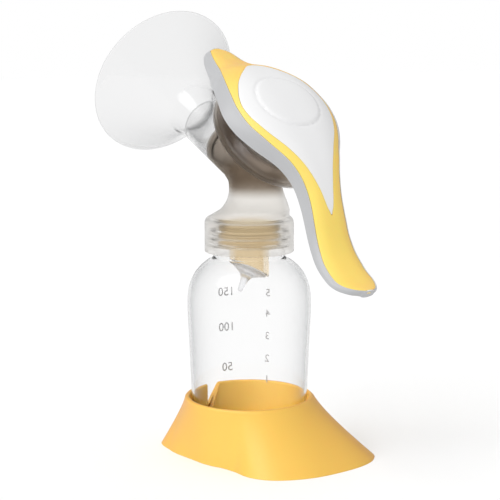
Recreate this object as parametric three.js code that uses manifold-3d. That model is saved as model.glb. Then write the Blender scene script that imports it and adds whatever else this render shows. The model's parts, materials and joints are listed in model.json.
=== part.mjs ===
// Manual breast pump on its bottle stand, built as the separate mouldings that come apart for washing.
//
// Millimetres, +Z up. The origin is on the table under the bottle's axis. The X-Z plane is the pump's plane
// of symmetry: the breast shield leans towards -X and the lever hangs towards +X. Three axes meet at the
// hub: the bottle's (vertical), the shield's and the bowl's. The handle turns about the bowl's axis and
// rocks on the bowl's rim, which lifts the stem and the diaphragm.

import * as THREE from "three";
import { mergeVertices } from "three/addons/utils/BufferGeometryUtils.js";
import Module from "manifold-3d";

const wasm = await Module();
wasm.setup();

// ---------------------------------------------------------------- driving dimensions

const GAP = 0.3; // clearance between pieces that touch or clip together
const ROUND = 28; // facets of a large turned surface
const SMALL_ROUND = 16; // facets of a pin, stem or bead

// Stand: a cup for the bottle, with a skirt that flares to a foot of one long and two short lobes.
const STAND_HEIGHT = 28.8;
const STAND_WALL = 2.4;
const CUP_CLEARANCE = 0.7; // round the bottle's waist
const CUP_DEPTH = 19.1; // from the rim to the floor that carries the bottle
const FOOT = [
  // degrees from +X, and the foot's radius there
  [-144, 47], [-126, 40], [-99, 32.6], [-64, 32], [-47, 36], [-36, 43.7], [-24, 49.3], [-5, 53.3],
  [15, 56.8], [36, 62.6], [44, 63], [60, 55], [80, 40], [100, 38], [125, 44], [155, 46], [185, 44],
];
const FLARE = 1.15; // 1 is a straight slope from rim to foot, more is a hollow one
const NOTCH_WIDTH = 8.7; // at the rim; its one side is upright and the other slants inwards
const NOTCH_START = -6.4; // where its upright side stands, across the stand
const NOTCH_DEPTH = 13.6;
const BOSS_RADIUS = 6;
const RIB_THICKNESS = 1.6;
const RIB_CLEARANCE = 1.5; // of the ribs above the table
const RIM_BEVEL = 0.8;

// Bottle.
const BOTTLE_FOOT_RADIUS = 28;
const BOTTLE_WAIST_RADIUS = 28.7;
const BOTTLE_WAIST = 23; // height of the waist above the bottle's foot
const BOTTLE_RADIUS = 30.4; // widest, below the shoulder
const BOTTLE_HEIGHT = 105.7;
const NECK_LENGTH = 17.4;
const SHOULDER_DROP = 22.3; // of the shoulder, under the neck
const BOTTLE_CORNER = 4; // radius round the foot
const BOTTLE_WALL = 1.2;
const BOTTLE_DIMPLE = 1.8; // the base is hollow by this much
const NECK_RADIUS = 17.3; // thread root
const THREAD_HEIGHT = 1.3;
const THREAD_PITCH = 4;
const THREAD_ROOT = 1; // half width of a thread at its root, and at its crest
const THREAD_CREST = 0.3;
const THREAD_TOP = 4.5; // of the first thread, below the bottle's mouth

// Connector: threaded skirt, column, shield tube and diaphragm bowl in one moulding.
const HUB_RISE = 26.3; // of the hub's centre above the skirt
const HUB_RADIUS = 13.2;
const CONNECTOR_WALL = 1.7;
const SKIRT_CLEARANCE = 1.5; // between the bottle's threads and the skirt's bore
const SKIRT_LENGTH = 16.7;
const SKIRT_BEVEL = 1.8;
const COLUMN = [
  // height above the skirt, shift towards the bowl, and how much less its radius is than the skirt's
  [0, 0, 1.8], [1.5, 1, 3], [3.8, 5, 4.7], [8.3, 6.2, 7.1], [13.3, 5.8, 8.7], [25, 2.5, 9.6],
];
const TUBE_LENGTH = 41.6; // from the hub's centre along the shield's axis
const TUBE_RADIUS = 12.4;
const TUBE_WALL = 1.3;
const SPIGOT_LENGTH = 6; // the valve head pushes over it

// Shield.
const SHIELD_TILT = 25.6; // degrees of its axis above the horizontal
const SHIELD_WALL = 1.3;
const SHIELD_DEPTH = 32.3; // from the throat to the rim
const SHIELD_RIM_RADIUS = 40.5;
const THROAT_LENGTH = 12.4; // outside the connector's tube
const THROAT_STEP = 1.2; // of the throat's radius over the tube's
const TUNNEL_DEPTH = 24; // how far the tunnel goes into the connector's tube

// Bowl, on an axis that leans from the vertical towards +X. Heights are measured from the hub's centre.
const BOWL_LEAN = 51; // degrees
const FLANGE_HEIGHT = 24;
const FLANGE_RADIUS = 31;
const FLANGE_THICKNESS = 1.4;
const FLANGE_WIDTH = 1.6; // beyond the bowl's wall
const BOWL_DEPTH = 7.5; // from the flange to the rim
const BOWL_TAPER = 1.8; // of its wall, inwards over that depth

// Diaphragm, stem and the hinge over them.
const DIAPHRAGM_THICKNESS = 1.1;
const DIAPHRAGM_DROP = 5.5; // of its middle below the bowl's rim
const BEAD_WIDTH = 2; // of the rim that clips into the bowl
const STEM_RADIUS = 3.6;
const STEM_DISC_RADIUS = 9;
const STEM_DISC_THICKNESS = 1.5;
const STEM_NECK_RADIUS = 2.8;
const STEM_HEAD_RADIUS = 4.6;
const STEM_HEAD_THICKNESS = 1.8;
const O_RING_SECTION = 1;
const SWIVEL_WALL = 1.5;
const SWIVEL_DOME = 2.4; // of its top above the pin
const PIN_RISE = 3.5; // of the pin above the bowl's rim
const PIN_RADIUS = 1.5;
const PIN_CLEARANCE = 0.06; // radial, where the ears turn on the pin
const EAR_THICKNESS = 3;
const EAR_WIDTH = 9;
const PAD_THICKNESS = 1.6; // the handle's two pads, which stand on the bowl's rim
const PAD_WIDTH = 14;

// Handle, measured along the lever (a) and out from the hub (s). Released, it is tipped back from the bowl.
const HANDLE_LEAN = 45; // degrees, as the bowl's
const TIP_REACH = 27.6; // of the short end beyond the bowl's flange
const LEVER_REACH = 68.5;
const LAYER = 1.8; // thickness of the soft grip and of the cap
const LIP = 0.8; // of the frame round the grip
const FRAME_WALL = 1.4;
const BADGE_RADIUS = 16;
const BADGE_HEIGHT = 0.4;

// Valve.
const VALVE_CLEARANCE = 0.7; // inside the bottle's mouth
const VALVE_WALL = 1.1;
const VALVE_HEIGHT = 11.5;
const VALVE_THROAT_RADIUS = 9.6;
const VALVE_THROAT_WALL = 2.6;
const VALVE_THROAT_LENGTH = 6; // on its short side, down to the seat
const VALVE_SLANT = 62; // degrees of the seat's normal below the horizontal
const MEMBRANE_RADIUS = 9.2;
const MEMBRANE_THICKNESS = 0.9;
const MEMBRANE_TAIL = 12;

// ---------------------------------------------------------------- shared shapes

const radians = THREE.MathUtils.degToRad;

// A closed geometry as a solid with its faces outwards; frame, if given, places it first.
function solid(geometry, frame = null) {
  const placed = geometry.index ? geometry.toNonIndexed() : geometry.clone();
  if (frame) {
    frame.updateWorldMatrix(true, false);
    placed.applyMatrix4(frame.matrixWorld);
  }
  const bare = new THREE.BufferGeometry().setAttribute("position", placed.getAttribute("position"));
  const merged = mergeVertices(bare, 1e-4);
  const corners = [];
  for (let i = 0; i < merged.index.count; i += 3) {
    const [p, q, r] = [0, 1, 2].map((k) => merged.index.getX(i + k));
    if (p !== q && q !== r && r !== p) corners.push(p, q, r);
  }
  const make = (order) =>
    new wasm.Manifold(
      new wasm.Mesh({
        numProp: 3,
        vertProperties: Float32Array.from(merged.attributes.position.array),
        triVerts: Uint32Array.from(order),
      }),
    );
  const made = make(corners);
  return made.volume() > 0 ? made : make(corners.reverse());
}

// A solid as a geometry for a mesh.
function geometryOf(made) {
  const { vertProperties, triVerts, numProp, numVert } = made.getMesh();
  const position = new Float32Array(numVert * 3);
  for (let i = 0; i < numVert; i++) {
    position.set(vertProperties.subarray(i * numProp, i * numProp + 3), i * 3);
  }
  const geometry = new THREE.BufferGeometry();
  geometry.setAttribute("position", new THREE.BufferAttribute(position, 3));
  geometry.setIndex(new THREE.BufferAttribute(triVerts, 1));
  geometry.computeVertexNormals();
  return geometry;
}

// [radius, height] points turned about Z.
function turned(profile, facets = ROUND) {
  const points = profile.map(([radius, height]) => new THREE.Vector2(radius, height));
  return new THREE.LatheGeometry(points, facets).rotateX(Math.PI / 2);
}

// A plain cylinder about Z between two heights.
function cylinder(radius, low, high, facets = ROUND) {
  return turned([[0, low], [radius, low], [radius, high], [0, high]], facets);
}

// A box between two corners.
function block(low, high) {
  const size = high.map((value, i) => value - low[i]);
  const middle = high.map((value, i) => (value + low[i]) / 2);
  return new THREE.BoxGeometry(...size).translate(...middle);
}

// Rings of equally many points, skinned and closed at both ends.
function lofted(rings) {
  const position = [];
  const add = (...points) => points.forEach((point) => position.push(point.x, point.y, point.z));
  const centreOf = (ring) =>
    ring.reduce((sum, point) => sum.add(point), new THREE.Vector3()).divideScalar(ring.length);
  const fan = (ring, flip) => {
    const centre = centreOf(ring);
    ring.forEach((point, i) => {
      const next = ring[(i + 1) % ring.length];
      if (flip) add(centre, next, point);
      else add(centre, point, next);
    });
  };
  rings.slice(1).forEach((ring, r) => {
    const last = rings[r];
    ring.forEach((point, i) => {
      const j = (i + 1) % ring.length;
      add(last[i], last[j], ring[j]);
      add(last[i], ring[j], point);
    });
  });
  fan(rings[0], true);
  fan(rings.at(-1), false);
  const geometry = new THREE.BufferGeometry();
  return geometry.setAttribute("position", new THREE.Float32BufferAttribute(position, 3));
}

// A smooth function through [x, value] pairs, flat beyond them.
function smooth(pairs) {
  const slopes = pairs.map(([x, value], i) => {
    const [x0, v0] = pairs[Math.max(i - 1, 0)];
    const [x1, v1] = pairs[Math.min(i + 1, pairs.length - 1)];
    const before = (value - v0) * (v1 - value);
    return i === 0 || i === pairs.length - 1 || before <= 0 ? 0 : (v1 - v0) / (x1 - x0);
  });
  return (x) => {
    if (x <= pairs[0][0]) return pairs[0][1];
    if (x >= pairs.at(-1)[0]) return pairs.at(-1)[1];
    const i = pairs.findIndex(([end]) => end > x) - 1;
    const [x0, v0] = pairs[i];
    const [x1, v1] = pairs[i + 1];
    const t = (x - x0) / (x1 - x0);
    const run = x1 - x0;
    return (
      v0 * (1 + 2 * t) * (1 - t) ** 2 +
      v1 * t * t * (3 - 2 * t) +
      run * slopes[i] * t * (1 - t) ** 2 +
      run * slopes[i + 1] * t * t * (t - 1)
    );
  };
}

// Points on an arc of a profile, centred at [radius, height], angles in degrees from outwards to upwards.
function arc(radius, height, size, from, to, steps) {
  return Array.from({ length: steps + 1 }, (_, i) => {
    const angle = radians(from + ((to - from) * i) / steps);
    return [radius + size * Math.cos(angle), height + size * Math.sin(angle)];
  });
}

function named(name, made, colour, roughness, opacity = 1) {
  const material = new THREE.MeshStandardMaterial({
    color: colour,
    roughness,
    metalness: 0,
    opacity,
    transparent: opacity < 1,
  });
  const mesh = new THREE.Mesh(geometryOf(made), material);
  mesh.name = name;
  return mesh;
}

const YELLOW = 0xf7c948;
const WHITE = 0xf0f0f2;
const GREY = 0xc3c5c9;
const CLEAR = 0xeef0f0;
const FROSTED = 0xd9d3cb;
const AMBER = 0xe8b878;
const SILICONE = 0xd9d9d6;

// ---------------------------------------------------------------- frames

const CUP_RADIUS = BOTTLE_WAIST_RADIUS + CUP_CLEARANCE;
const CUP_FLOOR = STAND_HEIGHT - CUP_DEPTH;
const BOTTLE_BASE = CUP_FLOOR + GAP;
const NECK_TOP = BOTTLE_BASE + BOTTLE_HEIGHT;
const SKIRT_TOP = NECK_TOP + GAP + CONNECTOR_WALL;
const HUB_HEIGHT = SKIRT_TOP + HUB_RISE;

const pump = new THREE.Group();

const bowlFrame = new THREE.Group(); // local X runs to the lever's side, local Z out of the bowl
bowlFrame.position.z = HUB_HEIGHT;
bowlFrame.rotation.y = radians(BOWL_LEAN);

const handleFrame = new THREE.Group(); // local X runs down the lever, local Z out through the cap
handleFrame.position.z = HUB_HEIGHT;
handleFrame.rotation.y = radians(HANDLE_LEAN);
const TIPPED = radians(BOWL_LEAN - HANDLE_LEAN); // a turn about Y from the handle's frame to the bowl's

const shieldFrame = new THREE.Group(); // local Z runs out through the shield
shieldFrame.position.z = HUB_HEIGHT;
shieldFrame.rotation.y = -radians(90 - SHIELD_TILT);

pump.add(bowlFrame, handleFrame, shieldFrame);

// ---------------------------------------------------------------- stand

const STAND_RIM = CUP_RADIUS + STAND_WALL;

const wholeTurn = (turn) => FOOT.map(([angle, radius]) => [angle + turn, radius]);
const footRadius = smooth([...wholeTurn(-360), ...wholeTurn(0), ...wholeTurn(360)]);

// The skirt's outer radius at an angle (degrees) and a share of the way down from the rim.
function skirtRadius(angle, down) {
  return STAND_RIM + Math.max(footRadius(angle) - STAND_RIM, 0) * down ** FLARE;
}

function skirtRings(inset, levels) {
  const points = ROUND * 2;
  return levels.map((z) => {
    const down = THREE.MathUtils.clamp(1 - z / STAND_HEIGHT, 0, 1);
    return Array.from({ length: points }, (_, i) => {
      const angle = (360 * i) / points;
      const radius = skirtRadius(angle, down) - inset;
      return new THREE.Vector3(
        radius * Math.cos(radians(angle)),
        radius * Math.sin(radians(angle)),
        z,
      );
    });
  });
}

function bottleStand() {
  const top = STAND_HEIGHT;
  const levels = [top * 0.3, top * 0.65];
  const skin = solid(lofted(skirtRings(0, [0, ...levels, top - RIM_BEVEL])));
  const under = solid(lofted(skirtRings(STAND_WALL, [-1, ...levels, top - 2 * STAND_WALL])));
  const cup = solid(
    turned([
      [0, CUP_FLOOR - STAND_WALL],
      [STAND_RIM, CUP_FLOOR - STAND_WALL],
      [STAND_RIM, top - RIM_BEVEL],
      [STAND_RIM - RIM_BEVEL, top],
      [0, top],
    ]),
  );
  const bore = solid(
    turned([
      [0, CUP_FLOOR],
      [CUP_RADIUS, CUP_FLOOR],
      [CUP_RADIUS, top - RIM_BEVEL],
      [CUP_RADIUS + 2 * RIM_BEVEL, top + RIM_BEVEL],
      [0, top + RIM_BEVEL],
    ]),
  );
  const inFloor = CUP_FLOOR - STAND_WALL / 2;
  const rib = (turn) =>
    solid(
      block(
        [-CUP_RADIUS, -RIB_THICKNESS / 2, RIB_CLEARANCE],
        [CUP_RADIUS, RIB_THICKNESS / 2, inFloor],
      ).rotateZ(radians(turn)),
    );
  const boss = solid(cylinder(BOSS_RADIUS, 0, inFloor));
  const notch = new THREE.Shape();
  notch.moveTo(NOTCH_START, top + 1);
  notch.lineTo(NOTCH_START, top - NOTCH_DEPTH);
  notch.lineTo(NOTCH_START + NOTCH_WIDTH * 0.45, top - NOTCH_DEPTH * 0.87);
  notch.lineTo(NOTCH_START + NOTCH_WIDTH, top + 1);
  const cut = new THREE.ExtrudeGeometry(notch, { depth: STAND_RIM, bevelEnabled: false });
  cut.rotateX(Math.PI / 2).rotateZ(Math.PI / 2).translate(-CUP_RADIUS * 0.83 - STAND_RIM, 0, 0);
  const shell = skin.subtract(under).add(cup).subtract(bore);
  return shell.add(rib(0)).add(rib(90)).add(boss).subtract(solid(cut));
}

pump.add(named("bottle_stand", bottleStand(), YELLOW, 0.5));

// ---------------------------------------------------------------- bottle

const bottleFrame = new THREE.Group();
bottleFrame.position.z = BOTTLE_BASE;
pump.add(bottleFrame);

const NECK_START = BOTTLE_HEIGHT - NECK_LENGTH;
const BOTTLE_SHOULDER = NECK_START - SHOULDER_DROP;
const THREAD_LEVELS = [0, 1].map((turn) => BOTTLE_HEIGHT - THREAD_TOP - turn * THREAD_PITCH);

function bottleShell() {
  const corner = BOTTLE_CORNER;
  const neckFillet = NECK_RADIUS + 0.4;
  const shoulder = new THREE.CubicBezierCurve(
    new THREE.Vector2(BOTTLE_RADIUS, BOTTLE_SHOULDER),
    new THREE.Vector2(BOTTLE_RADIUS, BOTTLE_SHOULDER + SHOULDER_DROP * 0.5),
    new THREE.Vector2(BOTTLE_RADIUS - 4, NECK_START - 5),
    new THREE.Vector2(neckFillet, NECK_START),
  );
  const outer = [
    ...arc(BOTTLE_FOOT_RADIUS - corner, corner, corner, -90, 0, 3),
    [BOTTLE_WAIST_RADIUS, BOTTLE_WAIST],
    ...shoulder.getPoints(6).map((point) => [point.x, point.y]),
    [NECK_RADIUS, NECK_START + 1],
  ];
  const threads = THREAD_LEVELS.toReversed().flatMap((level) => [
    [NECK_RADIUS, level - THREAD_ROOT],
    [NECK_RADIUS + THREAD_HEIGHT, level - THREAD_CREST],
    [NECK_RADIUS + THREAD_HEIGHT, level + THREAD_CREST],
    [NECK_RADIUS, level + THREAD_ROOT],
  ]);
  const inner = outer
    .slice(4)
    .toReversed()
    .map(([radius, height]) => [radius - BOTTLE_WALL, height]);
  const dimple = BOTTLE_FOOT_RADIUS - 2 * corner;
  const profile = [
    [0, BOTTLE_DIMPLE],
    [dimple - BOTTLE_DIMPLE, BOTTLE_DIMPLE],
    [dimple, 0],
    ...outer,
    ...threads,
    [NECK_RADIUS, BOTTLE_HEIGHT],
    [NECK_RADIUS - BOTTLE_WALL, BOTTLE_HEIGHT],
    ...inner,
    ...arc(BOTTLE_FOOT_RADIUS - corner, corner, corner - BOTTLE_WALL, 0, -90, 3),
    [dimple + 0.5, BOTTLE_WALL],
    [dimple - BOTTLE_DIMPLE + 0.5, BOTTLE_DIMPLE + BOTTLE_WALL],
    [0, BOTTLE_DIMPLE + BOTTLE_WALL],
  ];
  return solid(turned(profile));
}

bottleFrame.add(named("bottle", bottleShell(), CLEAR, 0.15, 0.35));

// ---------------------------------------------------------------- connector

const SKIRT_FOOT = SKIRT_TOP - SKIRT_LENGTH;
const SKIRT_BORE = NECK_RADIUS + THREAD_HEIGHT + SKIRT_CLEARANCE;
const SKIRT_RADIUS = SKIRT_BORE + CONNECTOR_WALL;
const VALVE_RADIUS = NECK_RADIUS - BOTTLE_WALL - VALVE_CLEARANCE;
const SPIGOT_RADIUS = VALVE_RADIUS - VALVE_WALL - GAP;

// Level rings of the column between the skirt and the hub, each shifted towards the bowl.
function columnRings(inset) {
  return COLUMN.map(([rise, shift, less]) =>
    Array.from({ length: ROUND }, (_, i) => {
      const angle = (2 * Math.PI * i) / ROUND;
      const ring = SKIRT_RADIUS - less - inset;
      return new THREE.Vector3(
        shift + ring * Math.cos(angle),
        ring * Math.sin(angle),
        SKIRT_TOP - 0.1 + rise,
      );
    }),
  );
}

const BOWL_RADIUS = FLANGE_RADIUS - FLANGE_WIDTH; // just above the flange
const BOWL_RIM_RADIUS = BOWL_RADIUS - BOWL_TAPER;
const BOWL_RIM_HEIGHT = FLANGE_HEIGHT + BOWL_DEPTH;

// The bowl's outside, or its inside when inset: a funnel from the hub, the flange, and the wall.
function bowlProfile(inset) {
  const floor = [
    [HUB_RADIUS * 0.6 - inset, inset],
    [HUB_RADIUS - inset, 7.5 + inset * 0.5],
    [FLANGE_RADIUS - 12 - inset, FLANGE_HEIGHT - 8.5 + inset * 0.4],
    [FLANGE_RADIUS - 5 - inset, FLANGE_HEIGHT - 3 + inset * 0.4],
  ];
  const wall = [
    [BOWL_RADIUS - inset, FLANGE_HEIGHT + FLANGE_THICKNESS],
    [(BOWL_RADIUS + BOWL_RIM_RADIUS) / 2 + 0.4 - inset, (FLANGE_HEIGHT + BOWL_RIM_HEIGHT) / 2 + 1],
  ];
  if (inset) {
    const top = BOWL_RIM_HEIGHT + 1;
    return [[0, inset], ...floor, ...wall, [BOWL_RIM_RADIUS - inset, top], [0, top]];
  }
  const flange = [
    [FLANGE_RADIUS, FLANGE_HEIGHT],
    [FLANGE_RADIUS, FLANGE_HEIGHT + FLANGE_THICKNESS],
  ];
  return [
    [0, 0],
    ...floor,
    ...flange,
    ...wall,
    [BOWL_RIM_RADIUS, BOWL_RIM_HEIGHT],
    [0, BOWL_RIM_HEIGHT],
  ];
}

function connector() {
  const skirt = solid(
    turned([
      [0, SKIRT_FOOT],
      [SKIRT_RADIUS, SKIRT_FOOT],
      [SKIRT_RADIUS, SKIRT_TOP - SKIRT_BEVEL],
      [SKIRT_RADIUS - SKIRT_BEVEL / 2, SKIRT_TOP],
      [0, SKIRT_TOP],
    ]),
  );
  const body = skirt
    .add(solid(lofted(columnRings(0))))
    .add(solid(new THREE.SphereGeometry(HUB_RADIUS, SMALL_ROUND, 12).translate(0, 0, HUB_HEIGHT)))
    .add(solid(cylinder(TUBE_RADIUS, 0, TUBE_LENGTH), shieldFrame))
    .add(solid(turned(bowlProfile(0)), bowlFrame));

  const chamber = HUB_RADIUS - CONNECTOR_WALL;
  const hollow = solid(turned(bowlProfile(CONNECTOR_WALL)), bowlFrame)
    .add(solid(cylinder(TUBE_RADIUS - TUBE_WALL, 0, TUBE_LENGTH + 1), shieldFrame))
    .add(solid(new THREE.SphereGeometry(chamber, SMALL_ROUND, 12).translate(0, 0, HUB_HEIGHT)))
    .add(solid(lofted(columnRings(CONNECTOR_WALL))));

  const ring = (level) => [
    [SKIRT_BORE, level + THREAD_ROOT],
    [NECK_RADIUS + GAP, level + THREAD_CREST],
    [NECK_RADIUS + GAP, level - THREAD_CREST],
    [SKIRT_BORE, level - THREAD_ROOT],
  ];
  const ceiling = NECK_TOP + GAP;
  const spigotBore = SPIGOT_RADIUS - CONNECTOR_WALL;
  const threads = THREAD_LEVELS.map((level) => BOTTLE_BASE + level - THREAD_PITCH / 2);
  const mouth = solid(
    turned([
      [SPIGOT_RADIUS, ceiling],
      [SKIRT_BORE, ceiling],
      ...threads.flatMap(ring),
      [SKIRT_BORE, SKIRT_FOOT - 1],
      [0, SKIRT_FOOT - 1],
      [0, ceiling - SPIGOT_LENGTH],
      [SPIGOT_RADIUS, ceiling - SPIGOT_LENGTH],
      [SPIGOT_RADIUS, ceiling],
    ]),
  );
  const drain = solid(cylinder(spigotBore, ceiling - SPIGOT_LENGTH - 1, SKIRT_TOP + 1));
  return body.subtract(hollow).subtract(mouth).subtract(drain);
}

pump.add(named("connector", connector(), FROSTED, 0.3, 0.5));

// ---------------------------------------------------------------- breast shield

const THROAT_REACH = TUBE_LENGTH + THROAT_LENGTH; // from the hub's centre, as the next one is
const SHIELD_REACH = THROAT_REACH + SHIELD_DEPTH;
const THROAT_RADIUS = TUBE_RADIUS + THROAT_STEP;

function breastShield() {
  const tunnel = TUBE_RADIUS - TUBE_WALL - GAP;
  const foot = TUBE_LENGTH - TUNNEL_DEPTH;
  const funnel = new THREE.CubicBezierCurve(
    new THREE.Vector2(THROAT_RADIUS, THROAT_REACH),
    new THREE.Vector2(THROAT_RADIUS + 2.4, THROAT_REACH + 5),
    new THREE.Vector2(SHIELD_RIM_RADIUS - 12.5, SHIELD_REACH - 12.3),
    new THREE.Vector2(SHIELD_RIM_RADIUS - 1, SHIELD_REACH - 1),
  );
  const outer = [
    [tunnel, foot],
    [tunnel, TUBE_LENGTH + GAP],
    ...funnel.getPoints(7).map((point) => [point.x, point.y]),
  ];
  const inner = outer.toReversed().map(([radius, height], i) => {
    const slant = i < 8 ? 0.6 : 0; // the funnel's wall is measured square to its slope
    return [radius - SHIELD_WALL * (1 - slant * 0.35), height + SHIELD_WALL * slant];
  });
  const profile = [
    ...outer,
    [SHIELD_RIM_RADIUS, SHIELD_REACH - 0.6],
    [SHIELD_RIM_RADIUS, SHIELD_REACH],
    ...inner,
    [tunnel, foot],
  ];
  return solid(turned(profile));
}

shieldFrame.add(named("breast_shield", breastShield(), CLEAR, 0.12, 0.3));

// ---------------------------------------------------------------- valve

const VALVE_TOP = NECK_TOP + GAP - 1;
const VALVE_STEP = VALVE_TOP - VALVE_HEIGHT;

// The valve's slanted seat: local Z looks out of it, and its origin is on the throat's axis.
const SEAT_DROP = VALVE_THROAT_RADIUS / Math.tan(radians(VALVE_SLANT));
const seatFrame = new THREE.Group();
seatFrame.position.z = VALVE_STEP - VALVE_THROAT_LENGTH - SEAT_DROP;
seatFrame.rotation.x = radians(90 + VALVE_SLANT);
pump.add(seatFrame);

function valveHead() {
  const throatFoot = VALVE_STEP - VALVE_THROAT_LENGTH - 2 * SEAT_DROP - 1;
  const bore = VALVE_THROAT_RADIUS - VALVE_THROAT_WALL;
  const shell = solid(
    turned([
      [0, throatFoot],
      [VALVE_THROAT_RADIUS, throatFoot],
      [VALVE_THROAT_RADIUS, VALVE_STEP],
      [VALVE_RADIUS - 1, VALVE_STEP],
      [VALVE_RADIUS, VALVE_STEP + 1],
      [VALVE_RADIUS, VALVE_TOP],
      [SPIGOT_RADIUS + GAP, VALVE_TOP],
      [SPIGOT_RADIUS + GAP, VALVE_STEP + VALVE_WALL],
      [bore, VALVE_STEP + VALVE_WALL],
      [bore, throatFoot + 1],
      [0, throatFoot + 1],
    ]),
  );
  return shell.subtract(solid(block([-20, -30, 0], [20, 30, 30]), seatFrame));
}

pump.add(named("valve_head", valveHead(), AMBER, 0.35, 0.8));

function valveMembrane() {
  const back = GAP + MEMBRANE_THICKNESS;
  return solid(
    turned(
      [
        [0, GAP],
        [MEMBRANE_RADIUS, GAP],
        [MEMBRANE_RADIUS, back],
        [MEMBRANE_RADIUS * 0.75, back + 1],
        [3, back + 3],
        [1.6, back + 6],
        [1.2, MEMBRANE_TAIL],
        [0, MEMBRANE_TAIL + 0.5],
      ],
      SMALL_ROUND,
    ),
  );
}

seatFrame.add(named("valve_membrane", valveMembrane(), SILICONE, 0.6, 0.9));

// ---------------------------------------------------------------- diaphragm and stem

const DIAPHRAGM_HEIGHT = BOWL_RIM_HEIGHT - DIAPHRAGM_DROP;

function diaphragm() {
  const rim = BOWL_RIM_RADIUS - CONNECTOR_WALL - GAP;
  const line = [
    [STEM_RADIUS + GAP, DIAPHRAGM_HEIGHT],
    [STEM_DISC_RADIUS, DIAPHRAGM_HEIGHT],
    [rim - 8.2, DIAPHRAGM_HEIGHT - 0.6],
    [rim - 3.2, DIAPHRAGM_HEIGHT - 0.2],
    [rim - 0.9, DIAPHRAGM_HEIGHT + 2.2],
    [rim - 0.2, BOWL_RIM_HEIGHT - 2.2],
  ];
  const half = DIAPHRAGM_THICKNESS / 2;
  // The flat points are thickened up and down, the last two in and out.
  const side = (sign) =>
    line.map(([radius, height], i) =>
      i < 4 ? [radius, height - sign * half] : [radius + sign * half, height],
    );
  const lower = side(1);
  const upper = side(-1);
  const bead = [
    [rim, BOWL_RIM_HEIGHT - 1.6],
    [rim, BOWL_RIM_HEIGHT - 0.4],
    [rim - BEAD_WIDTH, BOWL_RIM_HEIGHT - 0.4],
    [rim - BEAD_WIDTH, BOWL_RIM_HEIGHT - 1.6],
  ];
  return solid(turned([...lower, ...bead, ...upper.toReversed(), lower[0]]));
}

bowlFrame.add(named("diaphragm", diaphragm(), SILICONE, 0.6, 0.8));

const PIN_HEIGHT = BOWL_RIM_HEIGHT + PIN_RISE;
const DISC_TOP = DIAPHRAGM_HEIGHT - DIAPHRAGM_THICKNESS / 2 - GAP;
const O_RING_HEIGHT = DIAPHRAGM_HEIGHT + DIAPHRAGM_THICKNESS / 2 + GAP + O_RING_SECTION;
const HEAD_TOP = PIN_HEIGHT - PIN_RADIUS - 1.2;
const HEAD_FOOT = HEAD_TOP - STEM_HEAD_THICKNESS;

function stem() {
  return solid(
    turned(
      [
        [0, DISC_TOP - STEM_DISC_THICKNESS - 1],
        [STEM_DISC_RADIUS * 0.5, DISC_TOP - STEM_DISC_THICKNESS - 1],
        [STEM_DISC_RADIUS, DISC_TOP - STEM_DISC_THICKNESS + 0.5],
        [STEM_DISC_RADIUS, DISC_TOP],
        [STEM_RADIUS, DISC_TOP],
        [STEM_RADIUS, O_RING_HEIGHT + O_RING_SECTION - 0.2],
        [STEM_NECK_RADIUS, O_RING_HEIGHT + O_RING_SECTION],
        [STEM_NECK_RADIUS, HEAD_FOOT],
        [STEM_HEAD_RADIUS, HEAD_FOOT],
        [STEM_HEAD_RADIUS - 0.8, HEAD_TOP],
        [0, HEAD_TOP],
      ],
      SMALL_ROUND,
    ),
  );
}

bowlFrame.add(named("diaphragm_stem", stem(), GREY, 0.4));

const oRing = new THREE.TorusGeometry(STEM_RADIUS + GAP + O_RING_SECTION, O_RING_SECTION, 8, SMALL_ROUND);
bowlFrame.add(named("stem_o_ring", solid(oRing.translate(0, 0, O_RING_HEIGHT)), SILICONE, 0.6));

// A cylinder along local Y, about the pin.
function crossBar(radius, from, to, facets = SMALL_ROUND) {
  return cylinder(radius, from, to, facets).rotateX(-Math.PI / 2).translate(0, 0, PIN_HEIGHT);
}

const SWIVEL_RADIUS = STEM_HEAD_RADIUS + GAP + SWIVEL_WALL;

function stemSwivel() {
  const foot = HEAD_FOOT - 1.2;
  const shell = solid(
    turned(
      [
        [STEM_NECK_RADIUS + GAP, foot],
        [SWIVEL_RADIUS, foot],
        [SWIVEL_RADIUS, PIN_HEIGHT + 1],
        [SWIVEL_RADIUS - 2, PIN_HEIGHT + SWIVEL_DOME],
        [0, PIN_HEIGHT + SWIVEL_DOME],
        [0, HEAD_TOP + GAP],
        [STEM_HEAD_RADIUS + GAP, HEAD_TOP + GAP],
        [STEM_HEAD_RADIUS + GAP, HEAD_FOOT - GAP],
        [STEM_NECK_RADIUS + GAP, HEAD_FOOT - GAP],
        [STEM_NECK_RADIUS + GAP, foot],
      ],
      SMALL_ROUND,
    ),
  );
  return shell.subtract(solid(crossBar(PIN_RADIUS + GAP / 2, -SWIVEL_RADIUS - 1, SWIVEL_RADIUS + 1)));
}

bowlFrame.add(named("stem_swivel", stemSwivel(), GREY, 0.4));

const EAR_START = SWIVEL_RADIUS + GAP; // the ears stand either side of the swivel
const PIN_END = EAR_START + EAR_THICKNESS + 0.6;
bowlFrame.add(named("hinge_pin", solid(crossBar(PIN_RADIUS, -PIN_END, PIN_END)), GREY, 0.3));

// ---------------------------------------------------------------- handle

const TIP = -FLANGE_RADIUS - TIP_REACH;
const LEVER_END = FLANGE_RADIUS + LEVER_REACH;

// The tables below are drawn for this flange radius, rim height and reach beyond the flange, and stretch
// with the real ones. The cap's outline runs from back to point.
const DRAWN = { flange: 31, rim: 31.5, tipReach: 27.6, leverReach: 68.5, back: -31.5, point: 58.4 };

// A place along the lever, from one flange and reach to another.
function stretched(a, flange, reach, newFlange, newReach) {
  const out = Math.abs(a);
  if (out <= flange) return (a * newFlange) / flange;
  return Math.sign(a) * (newFlange + ((out - flange) * newReach) / reach);
}

function along(a) {
  const [reach, drawn] = a < 0 ? [TIP_REACH, DRAWN.tipReach] : [LEVER_REACH, DRAWN.leverReach];
  return stretched(a, FLANGE_RADIUS, reach, DRAWN.flange, drawn);
}

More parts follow.
